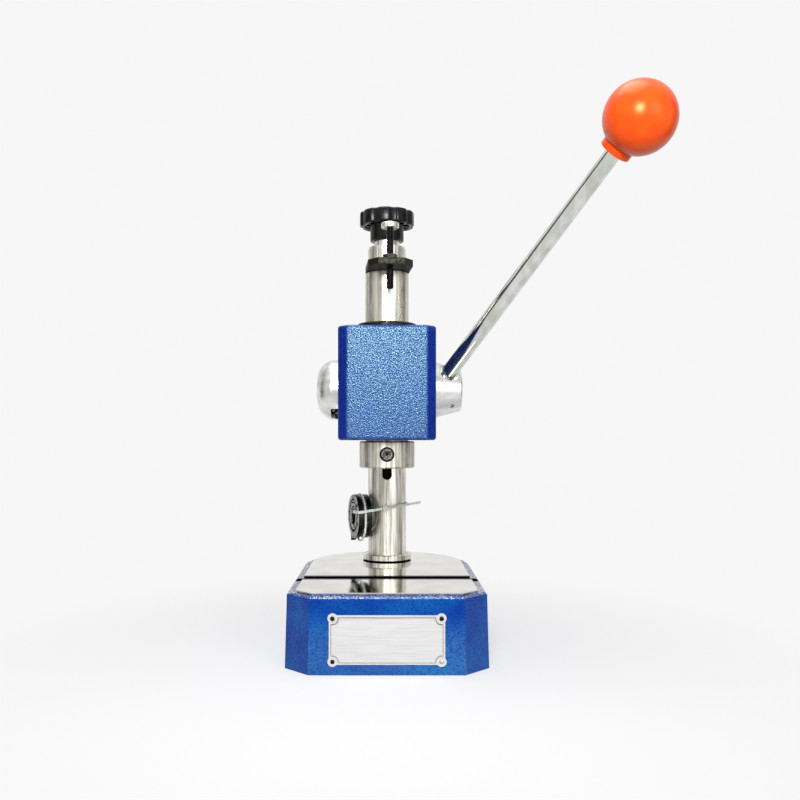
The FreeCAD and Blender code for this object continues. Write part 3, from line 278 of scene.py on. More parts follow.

# %% [markdown]
# ** Blue machine enamel on cast iron.** Sprayed thickly over a rough casting, the paint shrinks into
# an orange peel of bumps a little over a millimetre across. The eye reads it as glitter on a deep
# blue. Beside the bump, the crests are painted lighter as painted highlight and the pits darker as
# painted shade, in colour and in gloss tint, and the crests are glossier. The large faces are
# hammered; the slanted corners get less relief, and their gloss tint is dimmed as painted shade.

# %% Blue enamel
def enamel_coat(tree, place, front_y, corner, deep, crest, sheen, peel_mm, relief_mm):
    """Enamel's colour, gloss tint, roughness and relief: painted highlight on crests, painted shade
    in pits.
    """
    # the front face is fully hammered, the sides behind the corner half, the corner not at all;
    # the same mask dims the gloss tint as painted shade on the corner and the sides
    depth = add(tree, "SeparateXYZ", (place,)).outputs["Y"]
    face = inside(tree, depth, front_y - 0.01, front_y + 0.0009, 0.0003)
    sides = add(tree, "MapRange", (depth, front_y + corner, front_y + corner + 0.002, 0, 0.5))
    hammered_and_lit = add(tree, "Math", (face, sides), operation="MAXIMUM")

    patches = grain(tree, place, 30, 4)
    peel = grain(tree, place, peel_mm, 2)
    crests = add(tree, "MapRange", (peel, 0.36, 0.56, 0, 1))
    # painted shade and highlight: darker blue in the pits, lighter on the crests
    shaded_pit_blue = add(tree, "ValToRGB", (patches,), ((0.35, deep[0]), (0.65, deep[1])))
    lit_crest_blue = add(tree, "ValToRGB", (patches,), ((0.35, crest[0]), (0.65, crest[1])))
    colour = add(tree, "Mix", (crests, shaded_pit_blue, lit_crest_blue), data_type="RGBA")
    # painted shade: a dim gloss tint on the corners and in the pits, a bright one on the crests
    corner_shade_tint = add(tree, "ValToRGB", (crests,), ((0, "#24282C"), (1, "#464E54")))
    glint_and_pit_shade = add(tree, "ValToRGB", (crests,), ((0, sheen[0]), (1, sheen[1])))
    spec_tint_with_shade = add(tree, "Mix", (hammered_and_lit, corner_shade_tint, glint_and_pit_shade), data_type="RGBA")
    rough = add(tree, "MapRange", (crests, 0, 1, 0.42, 0.25))

    waves = add(tree, "Bump", {"Height": grain(tree, place, 9), "Distance": 0.0003,
                               "Strength": 0.5})
    strength = add(tree, "MapRange", (hammered_and_lit, 0, 1, 0.12, 1))
    relief = add(tree, "Bump", {"Height": peel, "Distance": relief_mm / 1000, "Strength": strength,
                                "Normal": waves})
    return colour, spec_tint_with_shade, rough, relief


enamel, tree, shader, place = new_finish("blue_machine_enamel", "#0D2DA8", IOR=1.6,
                                         Specular_IOR_Level=1.0)
colour, spec_tint_with_shade, rough, relief = enamel_coat(tree, place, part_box("head_casting")[0].y, 0.0075,
                                          ("#040E5C", "#06186C"), ("#0A2C8E", "#0E389A"),
                                          ("#64989E", "#BCF0DC"), 1.2, 0.42)
wire(tree, shader, Base_Color=colour, Specular_Tint=spec_tint_with_shade, Roughness=rough, Normal=relief)
print(enamel.name, len(tree.nodes), "nodes")

# %% [markdown]
# **The base** has three finishes on one casting. The table is ground flat and polished until it
# mirrors the column, the narrow rim round it is left rough where paint and iron mix, and all the
# rest is enamel. It could be cut into three materials, but the edges between them are ragged on the
# real casting. So height tells them apart: bands of Z make masks, and the masks mix the finishes.

# %% Masks of the base
SKIN, RIM_DEPTH, SLOT_DEPTH = 0.0008, 0.0034, 0.0178     # all from the table's face down
SLOT_LENGTH, SLOT_WIDTH = 0.153, 0.0236

table_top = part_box("base_casting")[1].z
front_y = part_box("base_casting")[0].y
above = table_top + 0.01
base_coat, tree, shader, place = new_finish("enamelled_cast_iron_base", "#0F4DAC", IOR=1.6,
                                            Specular_IOR_Level=1.0)
where = add(tree, "SeparateXYZ", (place,)).outputs
top = inside(tree, where["Z"], table_top - SKIN, above)
slot = add(tree, "Math", (inside(tree, where["X"], -SLOT_LENGTH / 2, SLOT_LENGTH / 2),
                          inside(tree, where["Z"], table_top - SLOT_DEPTH, above)),
           operation="MULTIPLY")
slot = add(tree, "Math", (inside(tree, where["Y"], -SLOT_WIDTH / 2, SLOT_WIDTH / 2), slot),
           operation="MULTIPLY")
speckle = add(tree, "MapRange", (grain(tree, place, 1.6, 4), 0.42, 0.5, 0, 1))
rim = inside(tree, where["Z"], table_top - RIM_DEPTH, table_top - SKIN, 0.0006)
rim = add(tree, "Math", (rim, speckle), operation="MULTIPLY")
off_slot = add(tree, "Math", (1, slot), operation="SUBTRACT")
rim = add(tree, "Math", (rim, off_slot), operation="MULTIPLY")
iron = add(tree, "Math", (add(tree, "Math", (top, slot), operation="MAXIMUM"), rim),
           operation="MAXIMUM")
print("table at", round(table_top, 4), "front at", round(front_y, 4))

# %% [markdown]
# The ground table is pale with faint stains. Its grinding lines are drawn half a millimetre apart,
# ten times coarser than life, because a pixel swallows finer ones. The slot is milled, and it is
# coloured nearly black. On the rim the paint is scraped off the iron in specks; the side rims are
# painted lighter as a painted reflection, and the front rim darker as painted shade.

# %% Finish of the base
# the same painted highlight on the crests and painted shade in the pits and on the corners
colour, spec_tint_with_shade, rough, relief = enamel_coat(tree, place, front_y, 0.02,
                                          ("#07308C", "#094298"), ("#083C98", "#0E5CAA"),
                                          ("#6AA8B8", "#A8F0E0"), 1.4, 0.6)
stain = grain(tree, place, 22, 5)
lay = grain(tree, place, 0.5, 3, (1, 0.05, 1))
table_grey = add(tree, "ValToRGB", (stain,), ((0.3, "#C6C3B8"), (0.5, "#D6D4CB"), (0.7, "#E2E0DA")))
slot_black = add(tree, "ValToRGB", (stain,), ((0.3, "#100F0E"), (0.7, "#24231F")))
bare = add(tree, "Mix", (slot, table_grey, slot_black), data_type="RGBA")
specks = grain(tree, place, 1.3)
# painted reflection: the side rims lighter; painted shade: the front rim darker
rim_side_painted_reflection = add(tree, "ValToRGB", (specks,), ((0.42, "#3A3D4C"), (0.58, "#E8E8EA")))
rim_front_painted_shade = add(tree, "ValToRGB", (specks,), ((0.45, "#16204A"), (0.66, "#A9AEBC")))
front_rim_shade = add(tree, "MapRange", (where["Y"], -0.064, -0.058, 1, 0))
scraped_and_painted_rim = add(tree, "Mix", (front_rim_shade, rim_side_painted_reflection, rim_front_painted_shade), data_type="RGBA")
bare = add(tree, "Mix", (rim, bare, scraped_and_painted_rim), data_type="RGBA")
mirror = add(tree, "MapRange", (lay, 0.3, 0.7, 0.03, 0.07))
worn = add(tree, "MapRange", (lay, 0.3, 0.7, 0.35, 0.5))
polish = add(tree, "Mix", (rim, mirror, worn), data_type="RGBA")
height = add(tree, "Mix", (top, grain(tree, place, 1.4, 2), lay), data_type="RGBA")
deep = add(tree, "MapRange", (top, 0, 1, 0.0004, 0.00002))
wire(tree, shader, Metallic=iron,
     Base_Color=add(tree, "Mix", (iron, colour, bare), data_type="RGBA"),
     Specular_Tint=add(tree, "Mix", (iron, spec_tint_with_shade, (1, 1, 1, 1)), data_type="RGBA"),
     Roughness=add(tree, "Mix", (iron, rough, polish), data_type="RGBA"),
     Normal=add(tree, "Bump", {"Height": height, "Distance": deep}))
print(base_coat.name, len(tree.nodes), "nodes")

# %% [markdown]
# **Turned and ground metal.** A lathe leaves fine rings across the axis, and grinding and handling
# leave long faint streaks along it. The streaks give the eye the roundness of the column, because
# they darken and brighten with its curve. The rings are finer than a pixel, so they are drawn half
# a millimetre apart, coarse enough to break up a highlight. One function makes all five metals.

# %% Steel, aluminium, chrome and bronze
def turned_finish(name, colours, rough, axis, rings_mm, streak_mm=9.0):
    """Metal from a lathe: fine rings across the axis, and long faint streaks along it."""
    made, tree, shader, place = new_finish(name, colours[0], Metallic=1.0, Roughness=rough)
    around = [1 if i == axis else 0.04 for i in range(3)]
    lengthways = [0.04 if i == axis else 1 for i in range(3)]
    streaks = grain(tree, place, streak_mm, 5, lengthways)
    rings = grain(tree, place, rings_mm, 2, around)
    patches = grain(tree, place, 5, 4)
    wire(tree, shader,
         Base_Color=add(tree, "ValToRGB", (streaks,), tuple(zip((0.36, 0.5, 0.62), colours))),
         Roughness=add(tree, "MapRange", (patches, 0.3, 0.7, rough * 0.75, rough * 1.3)),
         Normal=add(tree, "Bump", {"Height": rings, "Distance": 0.00002, "Strength": 0.35}))
    return made


LEFT_RIGHT, UPRIGHT = 0, 2
steel_tones = ("#A3A192", "#D2CFC4", "#F2F0EA")
steel = turned_finish("ground_steel", steel_tones, 0.36, UPRIGHT, 0.5, 2.2)
# painted shade: the ram and its nose ring get a darker copy of the ground steel, against the lamp's
# highlight on them
shaded_ram_steel = turned_finish("ram_steel_painted_darker", ("#989587", "#BBB8AC", "#D3CFC4"), 0.38, UPRIGHT, 0.5, 2.6)
bright = turned_finish("turned_aluminium", ("#BDBFBA", "#D2D3CF", "#E6E7E5"), 0.32, LEFT_RIGHT,
                       0.35)
chrome = turned_finish("hard_chrome", ("#BFC1B9", "#CBCDC6", "#DADBD6"), 0.08, UPRIGHT, 0.5)
bronze = turned_finish("bush_bronze", ("#7F5C2C", "#9A7440", "#B48C54"), 0.3, LEFT_RIGHT, 0.3)
print("metals", steel.name, shaded_ram_steel.name, bright.name, chrome.name, bronze.name)

# %% [markdown]
# **Black steels.** Screws are dipped in a hot salt bath that turns their skin into black oxide:
# still a metal, but dark and half dull. Spring strip is blued by heat and handled with oily
# fingers, and its edges are worn back to grey. The greased screw inside the column is darker still.

# %% Black steels
black_steel = mottled_finish("black_oxide_steel", "#16171A", 3,
                             ((0.35, "#0E0F11"), (0.7, "#2A2927")), 4, (1.2, 0.3, 0.5),
                             Metallic=0.85, Roughness=0.38)
spring_steel = mottled_finish("blued_spring_steel", "#1B1C20", 6,
                              ((0.35, "#101114"), (0.7, "#33302C")), 3, (1.5, 0.22, 0.42),
                              Metallic=0.9, Roughness=0.3)
worn_edge = mottled_finish("worn_spring_edge", "#A9AAA6", 4, ((0.36, "#2C2D2C"), (0.5, "#B4B5B2")),
                           Metallic=0.9, Roughness=0.4)
greased = mottled_finish("greased_black_steel", "#131312", 5, ((0.35, "#0B0B0A"), (0.7, "#22211C")),
                         Metallic=0.6, Roughness=0.35)
print("black steels", black_steel.name, spring_steel.name, worn_edge.name, greased.name)

# %% [markdown]
# ** The flange at the column's foot** is the same ground steel, with a painted shadow along its foot.
# A thin band of Z paints the narrow rebate where it meets the table black, so the flange looks
# seated and not merely placed.

# %% Flange with a painted shadow line
shadow_line_steel, tree, shader, place = new_finish("rebate_steel_painted_shadow", "#8F8B78", Metallic=1.0, Roughness=0.34)
flange_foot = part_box("column_flange")[0].z
height = add(tree, "SeparateXYZ", (place,)).outputs["Z"]
# painted shadow: black round the rebate at the flange's foot
painted_shadow_band = inside(tree, height, flange_foot - 0.001, flange_foot + 0.0012, 0.0001)
shine = add(tree, "ValToRGB", (grain(tree, place, 2.2, 5, (1, 1, 0.04)),),
            tuple(zip((0.36, 0.5, 0.62), ("#A09E8E", "#CAC7BB", "#F0EEE8"))))
wire(tree, shader,
     Base_Color=add(tree, "Mix", (painted_shadow_band, shine, linear("#0A0A09")), data_type="RGBA"),
     Roughness=add(tree, "MapRange", (painted_shadow_band, 0, 1, 0.34, 0.8)))
print("oil film 1.2 mm high above", round(flange_foot, 4))

# %% [markdown]
# ** The stop plate** was sawn from black bar. Its flat underside is painted near black as painted
# shade, a shadow line under the plate, while its edge is scuffed through to dull metal. **The clamp
# screw's face** is lighter in a ring, with painted shade black inside it for the socket and round
# it for the gap in the bore.

# %% Scuffed plate and screw face with painted shade
plate_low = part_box("stop_plate")[0].z
plate_scuffed_and_shaded, tree, shader, place = new_finish("scuffed_oxide_shaded_underside", "#16171A", Metallic=0.6,
                                          Roughness=0.5, Specular_IOR_Level=0.15)
height = add(tree, "SeparateXYZ", (place,)).outputs["Z"]
edge = inside(tree, height, plate_low + 0.0004, plate_low + 0.02)
# painted shade: the underside stays near black
painted_shade_skin = add(tree, "ValToRGB", (grain(tree, place, 3, 4),), ((0.35, "#050505"), (0.7, "#0D0D0C")))
scuffs = add(tree, "ValToRGB", (grain(tree, place, 2, 4),), ((0.35, "#14150F"), (0.65, "#37382F")))
wire(tree, shader, Metallic=edge,
     Base_Color=add(tree, "Mix", (edge, painted_shade_skin, scuffs), data_type="RGBA"))

clamp_low, clamp_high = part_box("tool_clamp_screw")
middle = (clamp_low + clamp_high) / 2
shaded_screw_face, tree, shader, place = new_finish("screw_face_with_painted_shade", "#16171A", Metallic=0.85,
                                             Roughness=0.4)
flat = add(tree, "Mapping", {"Vector": place, "Location": (-middle.x, 0, -middle.z),
                             "Scale": (1, 0, 1)})
ring = inside(tree, add(tree, "VectorMath", (flat,), operation="LENGTH"), 0.0012, 0.0044, 0.0006)
# painted shade: black inside the ring and round it
painted_shade_skin = add(tree, "ValToRGB", (grain(tree, place, 3, 4),), ((0.35, "#08090A"), (0.7, "#1A1918")))
scuffs = add(tree, "ValToRGB", (grain(tree, place, 1.4, 4),), ((0.36, "#1C1D1B"), (0.6, "#7C7D77")))
wire(tree, shader, Base_Color=add(tree, "Mix", (ring, painted_shade_skin, scuffs), data_type="RGBA"),
     Roughness=add(tree, "MapRange", (grain(tree, place, 1.2), 0.3, 0.7, 0.3, 0.5)))
print("worn ring round", [round(c, 4) for c in middle])

# %% [markdown]
# **Resin, nylon and the plate.** The knobs are phenolic resin, pressed hot in polished moulds: a
# hard gloss over an even colour, black on the star knob and orange-red on the ball, whose gloss has
# a warm tint so that its highlights stay orange. The cable tie is natural nylon, which lets a
# little light in. The nameplate is anodised aluminium, brushed from side to side in lines that are
# drawn four times coarser than life. The anodic layer scatters the light, so the plate looks pale
# and half metallic and doesn't mirror.

# %% Resin, nylon and anodised plate
black_resin = mottled_finish("black_phenolic_resin", "#121312", 4,
                             ((0.35, "#080908"), (0.7, "#161713")), 4, (2.5, 0.18, 0.34),
                             Roughness=0.25, Specular_IOR_Level=0.22)
nylon = mottled_finish("white_nylon", "#E9E6DC", 5, ((0.35, "#DDD9CC"), (0.7, "#F0EEE6")), 2,
                       Roughness=0.35, Subsurface_Weight=0.3, Subsurface_Scale=0.002)
print_ink = new_finish("grey_brown_printing_ink", "#8E7F78", Roughness=0.55)[0]

orange_resin, tree, shader, place = new_finish("orange_phenolic_resin", "#EE5A1E", Roughness=0.3,
                                               Specular_IOR_Level=0.7,
                                               Specular_Tint=(1, 0.6, 0.25, 1))
wire(tree, shader,
     Base_Color=add(tree, "ValToRGB", (grain(tree, place, 12, 5),),
                    ((0.35, "#F8480C"), (0.65, "#FC5A14"))),
     Normal=add(tree, "Bump", {"Height": grain(tree, place, 3, 2), "Distance": 0.00003,
                               "Strength": 0.25}))

plate_alu, tree, shader, place = new_finish("anodised_plate_aluminium", "#D4D4D3", Metallic=0.25,
                                            Roughness=0.5)
wire(tree, shader,
     Base_Color=add(tree, "ValToRGB", (grain(tree, place, 1.2, 3, (0.05, 1, 1)),),
                    ((0.35, "#CBCBCA"), (0.7, "#D9D9D8"))),
     Normal=add(tree, "Bump", {"Height": grain(tree, place, 0.4, 2, (0.03, 1, 1)),
                               "Distance": 0.00001, "Strength": 0.3}))
print("resins", black_resin.name, orange_resin.name, "plate", plate_alu.name)

# %% [markdown]
# **Dressing.** Each CAD node has one material slot. Emptying it and adding the finish is all that a
# node with the right shape needs. Nodes that finer pieces replace below are dressed as well,
# because the checks still look at them.

# %% Dress the nodes
DRESS = {
    enamel: ["head_casting"],
    base_coat: ["base_casting"],
    shadow_line_steel: ["column_flange"],
    plate_scuffed_and_shaded: ["stop_plate"],
    shaded_screw_face: ["tool_clamp_screw"],
    steel: ["column", "foot_washer", "column_cap", "elevating_screw", "screw_collar",
            "pinion_shaft", "hub_pin"],
    shaded_ram_steel: ["ram", "nose_ring"],
    bright: ["spring_cap", "lever_hub"],
    chrome: ["lever_bar"],
    bronze: ["pinion_bush_left", "pinion_bush_right", "elevating_nut"],
    black_steel: ["column_foot_bolt", "head_clamp_screws", "guide_ring", "cap_lock_screw",
                  "knob_set_screw", "stop_plate_screw", "stop_lock_nut", "stop_screw",
                  "nameplate_rivets"],
    spring_steel: ["spare_spring_near", "spare_spring_far", "return_spring"],
    black_resin: ["star_knob"],
    orange_resin: ["ball_knob"],
    nylon: ["cable_tie_band", "cable_tie_loop"],
    plate_alu: ["nameplate"],
}
for finish, names in DRESS.items():
    for name in names:
        nodes[name].data.materials.clear()
        nodes[name].data.materials.append(finish)
print("dressed", sum(map(len, DRESS.values())), "of", len(nodes), "nodes")

# %% [markdown]
# ## Growing pieces with Geometry Nodes
# A screw thread, a flat spiral spring and a strap all follow a rule, so a small tree of nodes draws
# them better than a hand would. A tree is built once, gets its sizes as named inputs, and what it
# makes is kept as a plain mesh that rides on a body of the press.

# %% A tree of nodes
def new_tree(name, **sizes):
    """A node group with those named inputs; whole numbers make whole-number inputs."""
    tree = bpy.data.node_groups.new(name, "GeometryNodeTree")
    sockets = tree.interface
    sockets.new_socket("Geometry", in_out="INPUT", socket_type="NodeSocketGeometry")
    for label, value in sizes.items():
        kind = "NodeSocketInt" if isinstance(value, int) else "NodeSocketFloat"
        sockets.new_socket(label, in_out="INPUT", socket_type=kind).default_value = value
    sockets.new_socket("Geometry", in_out="OUTPUT", socket_type="NodeSocketGeometry")
    return tree, add(tree, "NodeGroupInput").outputs


def close_tree(tree, geometry, finish, accent=None, chosen=None):
    """The end of every tree: instances become real faces, and the faces get their finish. Faces
    that are chosen get the accent instead."""
    real = add(tree, "GeometryNodeRealizeInstances", (geometry,))
    dressed = add(tree, "GeometryNodeSetMaterial", {"Geometry": real, "Material": finish})
    if accent:
        dressed = add(tree, "GeometryNodeSetMaterial",
                      {"Geometry": dressed, "Selection": chosen, "Material": accent})
    add(tree, "NodeGroupOutput", (dressed,))


def sweep(tree, path, section):
    """A section drawn along a path. Gives the path with its width upright, and the mesh."""
    level = add(tree, "GeometryNodeSetCurveNormal", (path,), mode="Z_UP")
    return level, add(tree, "GeometryNodeCurveToMesh",
                      {"Curve": level, "Profile Curve": section, "Fill Caps": True})


print("trees so far", len(bpy.data.node_groups))

# %% [markdown]
# A tree does nothing until a modifier runs it. The next helper hangs the tree on an object for a
# moment, takes the result as a plain mesh, which can be measured and exported, removes that object,
# and lets the piece ride on a body.

# %% From a tree to a piece
def grow(name, tree, body, place=Matrix(), base=None, **sizes):
    """Runs a tree once, on a base mesh if it needs one, and keeps the result as a plain mesh."""
    grower = link_mesh(name + "_grower", base or bpy.data.meshes.new(name))
    modifier = grower.modifiers.new("grow", "NODES")
    modifier.node_group = tree
    for socket in tree.interface.items_tree:
        if socket.in_out == "INPUT" and socket.name in sizes:
            modifier[socket.identifier] = sizes[socket.name]
    grown = grower.evaluated_get(bpy.context.evaluated_depsgraph_get())
    mesh = bpy.data.meshes.new_from_object(grown)
    bpy.data.objects.remove(grower)
    mesh.transform(place)
    made = link_mesh(name, mesh)
    print(name, len(mesh.polygons), "faces")
    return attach(made, body)


def frame_at(centre, right, up):
    """The matrix of a frame whose X is right and Y is up, and whose Z points out of the two."""
    right, up = Vector(right).normalized(), Vector(up).normalized()
    columns = Matrix((right, up, right.cross(up))).transposed().to_4x4()
    return Matrix.Translation(Vector(centre)) @ columns


print("upright frame looks along", frame_at((0, 0, 0), (1, 0, 0), (0, 0, 1)).col[2][:3])

# %% [markdown]
# **Rivets.** Four drive rivets hold the nameplate through its round ears. Three have been painted
# over black and one is bare. The tree puts a shallow dome on each corner of a two by two grid, and
# a test on the position picks the right-hand lower one for bare steel.

# %% Rivets
name_low, name_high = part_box("nameplate")
facing = frame_at((0, name_low.y, (name_low.z + name_high.z) / 2), (1, 0, 0), (0, 0, 1))

tree, size = new_tree("corner_rivets", Span=0.0818, Rise=0.0323, Head=0.0017, Dome=0.5)
grid = add(tree, "GeometryNodeMeshGrid",
           {"Size X": size["Span"], "Size Y": size["Rise"], "Vertices X": 2, "Vertices Y": 2})
dome = add(tree, "GeometryNodeMeshUVSphere",
           {"Segments": 24, "Rings": 14, "Radius": size["Head"]})
squash = add(tree, "CombineXYZ", (1, 1, size["Dome"]))
heads = add(tree, "GeometryNodeInstanceOnPoints",
            {"Points": grid, "Instance": dome, "Scale": squash})
spot = add(tree, "SeparateXYZ", (add(tree, "GeometryNodeInputPosition"),)).outputs
right = add(tree, "Math", (spot["X"], 0), operation="GREATER_THAN")
under = add(tree, "Math", (spot["Y"], 0), operation="LESS_THAN")
bare_one = add(tree, "Math", (right, under), operation="MULTIPLY")
close_tree(tree, heads, black_steel, steel, bare_one)

rivets = grow("nameplate_rivet_heads", tree, "stand", facing)
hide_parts("nameplate_rivets")
for face in rivets.data.polygons:
    face.use_smooth = True

# %% [markdown]
# **The nameplate's border.** The plate is bare. Only a thin line is printed round it, which steps
# inwards round each ear. The tree sweeps a flat strip along a closed path of points: an arc round
# one ear and its mirror images round the other three.

# %% Printed border line
def arc(centre, radius, start, end, steps=8):
    """Points on an arc in a plane, with the angles in degrees."""
    turns = [math.radians(start + (end - start) * i / steps) for i in range(steps + 1)]
    return [(centre[0] + radius * math.cos(t), centre[1] + radius * math.sin(t)) for t in turns]


def wire_mesh(name, points, closed=True):
    """A mesh of edges only, which a tree turns into a curve."""
    mesh = bpy.data.meshes.new(name)
    count = len(points)
    joins = [(i, (i + 1) % count) for i in range(count if closed else count - 1)]
    mesh.from_pydata([(*p, 0) for p in points], joins, [])
    return mesh


def rounded_path(tree, size):
    """The curve of the base mesh's edges, with its corners rounded."""
    path = add(tree, "GeometryNodeMeshToCurve", (size["Geometry"],))
    return add(tree, "GeometryNodeFilletCurve",
               {"Curve": path, "Count": 6, "Limit Radius": True, "Radius": size["Rounding"]},
               mode="POLY")


tree, size = new_tree("swept_strip", Thickness=0.0001, Width=0.0006, Rounding=0.0)
section = add(tree, "GeometryNodeCurvePrimitiveQuadrilateral",
              {"Width": size["Width"], "Height": size["Thickness"]})
close_tree(tree, sweep(tree, rounded_path(tree, size), section)[1], print_ink)

half_width, half_height, ear_x, ear_z, ear = 0.04205, 0.01695, 0.0409, 0.01615, 0.0044
start = 360 - math.degrees(math.acos((half_width - ear_x) / ear))
end = 180 - math.degrees(math.asin((half_height - ear_z) / ear))
quarter = arc((ear_x, ear_z), ear, start, end, 10)
outline = []
for side, upper in ((1, 1), (-1, 1), (-1, -1), (1, -1)):
    outline += [(side * x, upper * z) for x, z in (quarter if side == upper else quarter[::-1])]
border = grow("nameplate_border_line", tree, "stand", facing, wire_mesh("border_path", outline),
              Thickness=0.00012, Width=0.0006)

# %% [markdown]
# **Threads.** A thread is a ridge wound round a core: a spiral curve with a three-sided section,
# joined to a cylinder. A bump could only suggest it, and its outline would stay smooth. The stop
# screw and the elevating screw use the same tree with other sizes.

# %% Screw threads
tree, size = new_tree("screw_thread", Radius=0.003, Pitch=0.001, Length=0.05, Sides=40)
turns = add(tree, "Math", (size["Length"], size["Pitch"]), operation="DIVIDE")
ridge = add(tree, "Math", (size["Pitch"], 0.5), operation="MULTIPLY")
root = add(tree, "Math", (size["Radius"], ridge), operation="SUBTRACT")
winding = add(tree, "GeometryNodeCurveSpiral",
              {"Resolution": 28, "Rotations": turns, "Start Radius": root, "End Radius": root,
               "Height": size["Length"]})
triangle = add(tree, "GeometryNodeCurvePrimitiveCircle", {"Resolution": 3, "Radius": ridge})
thread = sweep(tree, winding, triangle)[1]
core = add(tree, "GeometryNodeMeshCylinder",
           {"Vertices": size["Sides"], "Radius": root, "Depth": size["Length"]})
half_length = add(tree, "Math", (size["Length"], 0.5), operation="MULTIPLY")
core = add(tree, "GeometryNodeTransform",
           {"Geometry": core, "Translation": add(tree, "CombineXYZ", {"Z": half_length})})
close_tree(tree, add(tree, "GeometryNodeJoinGeometry", ([thread, core],)), black_steel)
thread_tree = tree
print("thread tree", len(thread_tree.nodes), "nodes")

# %% [markdown]
# **The stop screw** is an M6 screw with a thin bright disc for a head. It stands in the black stop
# plate, and its lower tip meets the head's top when the ram has gone far enough. The disc and the
# tip are turned pieces, so a profile spun about the axis makes them, as a lathe would.

# %% Stop screw
def seal(form, mesh):
    """Joins points that fall together, turns all faces outwards and hands the form to a mesh."""
    bmesh.ops.remove_doubles(form, verts=form.verts, dist=1e-6)
    bmesh.ops.recalc_face_normals(form, faces=form.faces)
    form.to_mesh(mesh)
    form.free()


def lathe(name, body, profile, finish, at=(0, 0, 0), sides=64):
    """A turned piece: the profile of (radius, height) points is spun about an upright axis."""
    mesh = bpy.data.meshes.new(name)
    form = bmesh.new()
    points = [form.verts.new((r, 0, z)) for r, z in profile]
    edges = [form.edges.new(pair) for pair in zip(points, points[1:])]
    bmesh.ops.spin(form, geom=points + edges, cent=(0, 0, 0), axis=(0, 0, 1),
                   angle=math.tau, steps=sides, use_merge=True)
    seal(form, mesh)
    mesh.transform(Matrix.Translation(Vector(at)))
    made = link_mesh(name, mesh, finish)
    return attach(made, body)


low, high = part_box("stop_screw")
axis_x, axis_y = (low.x + high.x) / 2, (low.y + high.y) / 2
DISC, TIP = 0.0045, 0.001
stem = grow("stop_screw_thread", thread_tree, "stop",
            Matrix.Translation((axis_x, axis_y, low.z + TIP)),
            Radius=0.003, Pitch=0.001, Length=high.z - low.z - DISC - TIP)
head = lathe("stop_screw_disc", "stop",
             [(0, -DISC), (0.0064, -DISC), (0.0071, -DISC + 0.0006), (0.0072, -0.0008),
              (0.0068, -0.0002), (0.006, 0), (0.0035, -0.0003), (0, -0.0004)],
             steel, (axis_x, axis_y, high.z))
tip = lathe("stop_screw_tip", "stop", [(0, 0), (0.0018, 0), (0.0024, 0.0005), (0.0025, 0.0022)],
            black_steel, (axis_x, axis_y, low.z))
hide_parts("stop_screw")
print("stop screw", round(high.z - low.z, 4), "m long")

# %% [markdown]
# **The elevating screw** stands inside the hollow column under the star knob, and shows only as a
# dark, greased thread behind the slot. It is the stop screw's tree with a coarser pitch.

# %% Elevating screw
COLUMN_Y = 0.106         # the column's axis, behind the ram's
low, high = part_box("elevating_screw")
lead = grow("elevating_screw_thread", thread_tree, "adjuster",
            Matrix.Translation((0, COLUMN_Y, low.z)),
            Radius=0.007, Pitch=0.003, Length=high.z - low.z)
lead.data.materials.clear()
lead.data.materials.append(greased)
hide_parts("elevating_screw")

# %% [markdown]
# **Spare spiral springs.** Two flat springs hang at the column's left, tied on as spares for the
# one that lifts the lever. Each is a steel strip wound seven times: close at the rim, wider apart
# inwards, with a hook at its outer end. The tree sweeps a rounded section along four spirals of
# different pitch and a short curve for the hook. Faces that look sideways are the strip's edges,
# and they get the worn finish.

# %% Spiral springs
HANG_TURN = math.radians(17)     # from straight left towards the front
SPRING_LEVEL = Vector((0, COLUMN_Y, 0.1035))     # on the column's axis
OUTWARD = Vector((-math.cos(HANG_TURN), -math.sin(HANG_TURN), 0))
FORWARD = Vector((math.sin(HANG_TURN), -math.cos(HANG_TURN), 0))
UP = Vector((0, 0, 1))

tree, size = new_tree("flat_spiral_spring", Outer=0.0207, Thickness=0.0011, Width=0.005,
                      Rounding=0.0003)
rim = add(tree, "CombineXYZ", {"X": size["Outer"]})
bend = add(tree, "VectorMath", (rim, (0.0008, 0.0045, 0)), operation="ADD")
hook_end = add(tree, "VectorMath", (rim, (0.0042, 0.0036, 0)), operation="ADD")
runs = [add(tree, "GeometryNodeCurveQuadraticBezier",
            {"Resolution": 10, "Start": rim, "Middle": bend, "End": hook_end})]
for rotations, outer, inner in ((3, 1.0, 0.79), (1, 0.79, 0.6), (2, 0.6, 0.46), (1, 0.46, 0.3)):
    ends = [add(tree, "Math", (size["Outer"], share), operation="MULTIPLY")
            for share in (inner, outer)]
    runs.append(add(tree, "GeometryNodeCurveSpiral",
                    {"Resolution": 72, "Rotations": rotations, "Start Radius": ends[0],
                     "Height": 0, "End Radius": ends[1]}))
strip = add(tree, "GeometryNodeCurvePrimitiveQuadrilateral",
            {"Width": size["Thickness"], "Height": size["Width"]})
strip = add(tree, "GeometryNodeFilletCurve",
            {"Curve": strip, "Count": 3, "Radius": size["Rounding"]}, mode="POLY")
coils = sweep(tree, add(tree, "GeometryNodeJoinGeometry", (runs,)), strip)[1]
sideways = add(tree, "SeparateXYZ", (add(tree, "GeometryNodeInputNormal"),)).outputs["Z"]
sideways = add(tree, "Math", (sideways,), operation="ABSOLUTE")
sideways = add(tree, "Math", (sideways, 0.6), operation="GREATER_THAN")
close_tree(tree, coils, spring_steel, worn_edge, sideways)

HALF_STRIP = 0.0025      # from a coil's inner face to its middle
for name, start, turn in (("near", 0.0202, -150), ("far", 0.0286, -118)):
    place = frame_at(SPRING_LEVEL + OUTWARD * (start + HALF_STRIP), FORWARD, UP)
    coil = grow("spare_spring_" + name + "_coil", tree, "stand",
                place @ Matrix.Rotation(math.radians(turn), 4, "Z"))
    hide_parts("spare_spring_" + name)

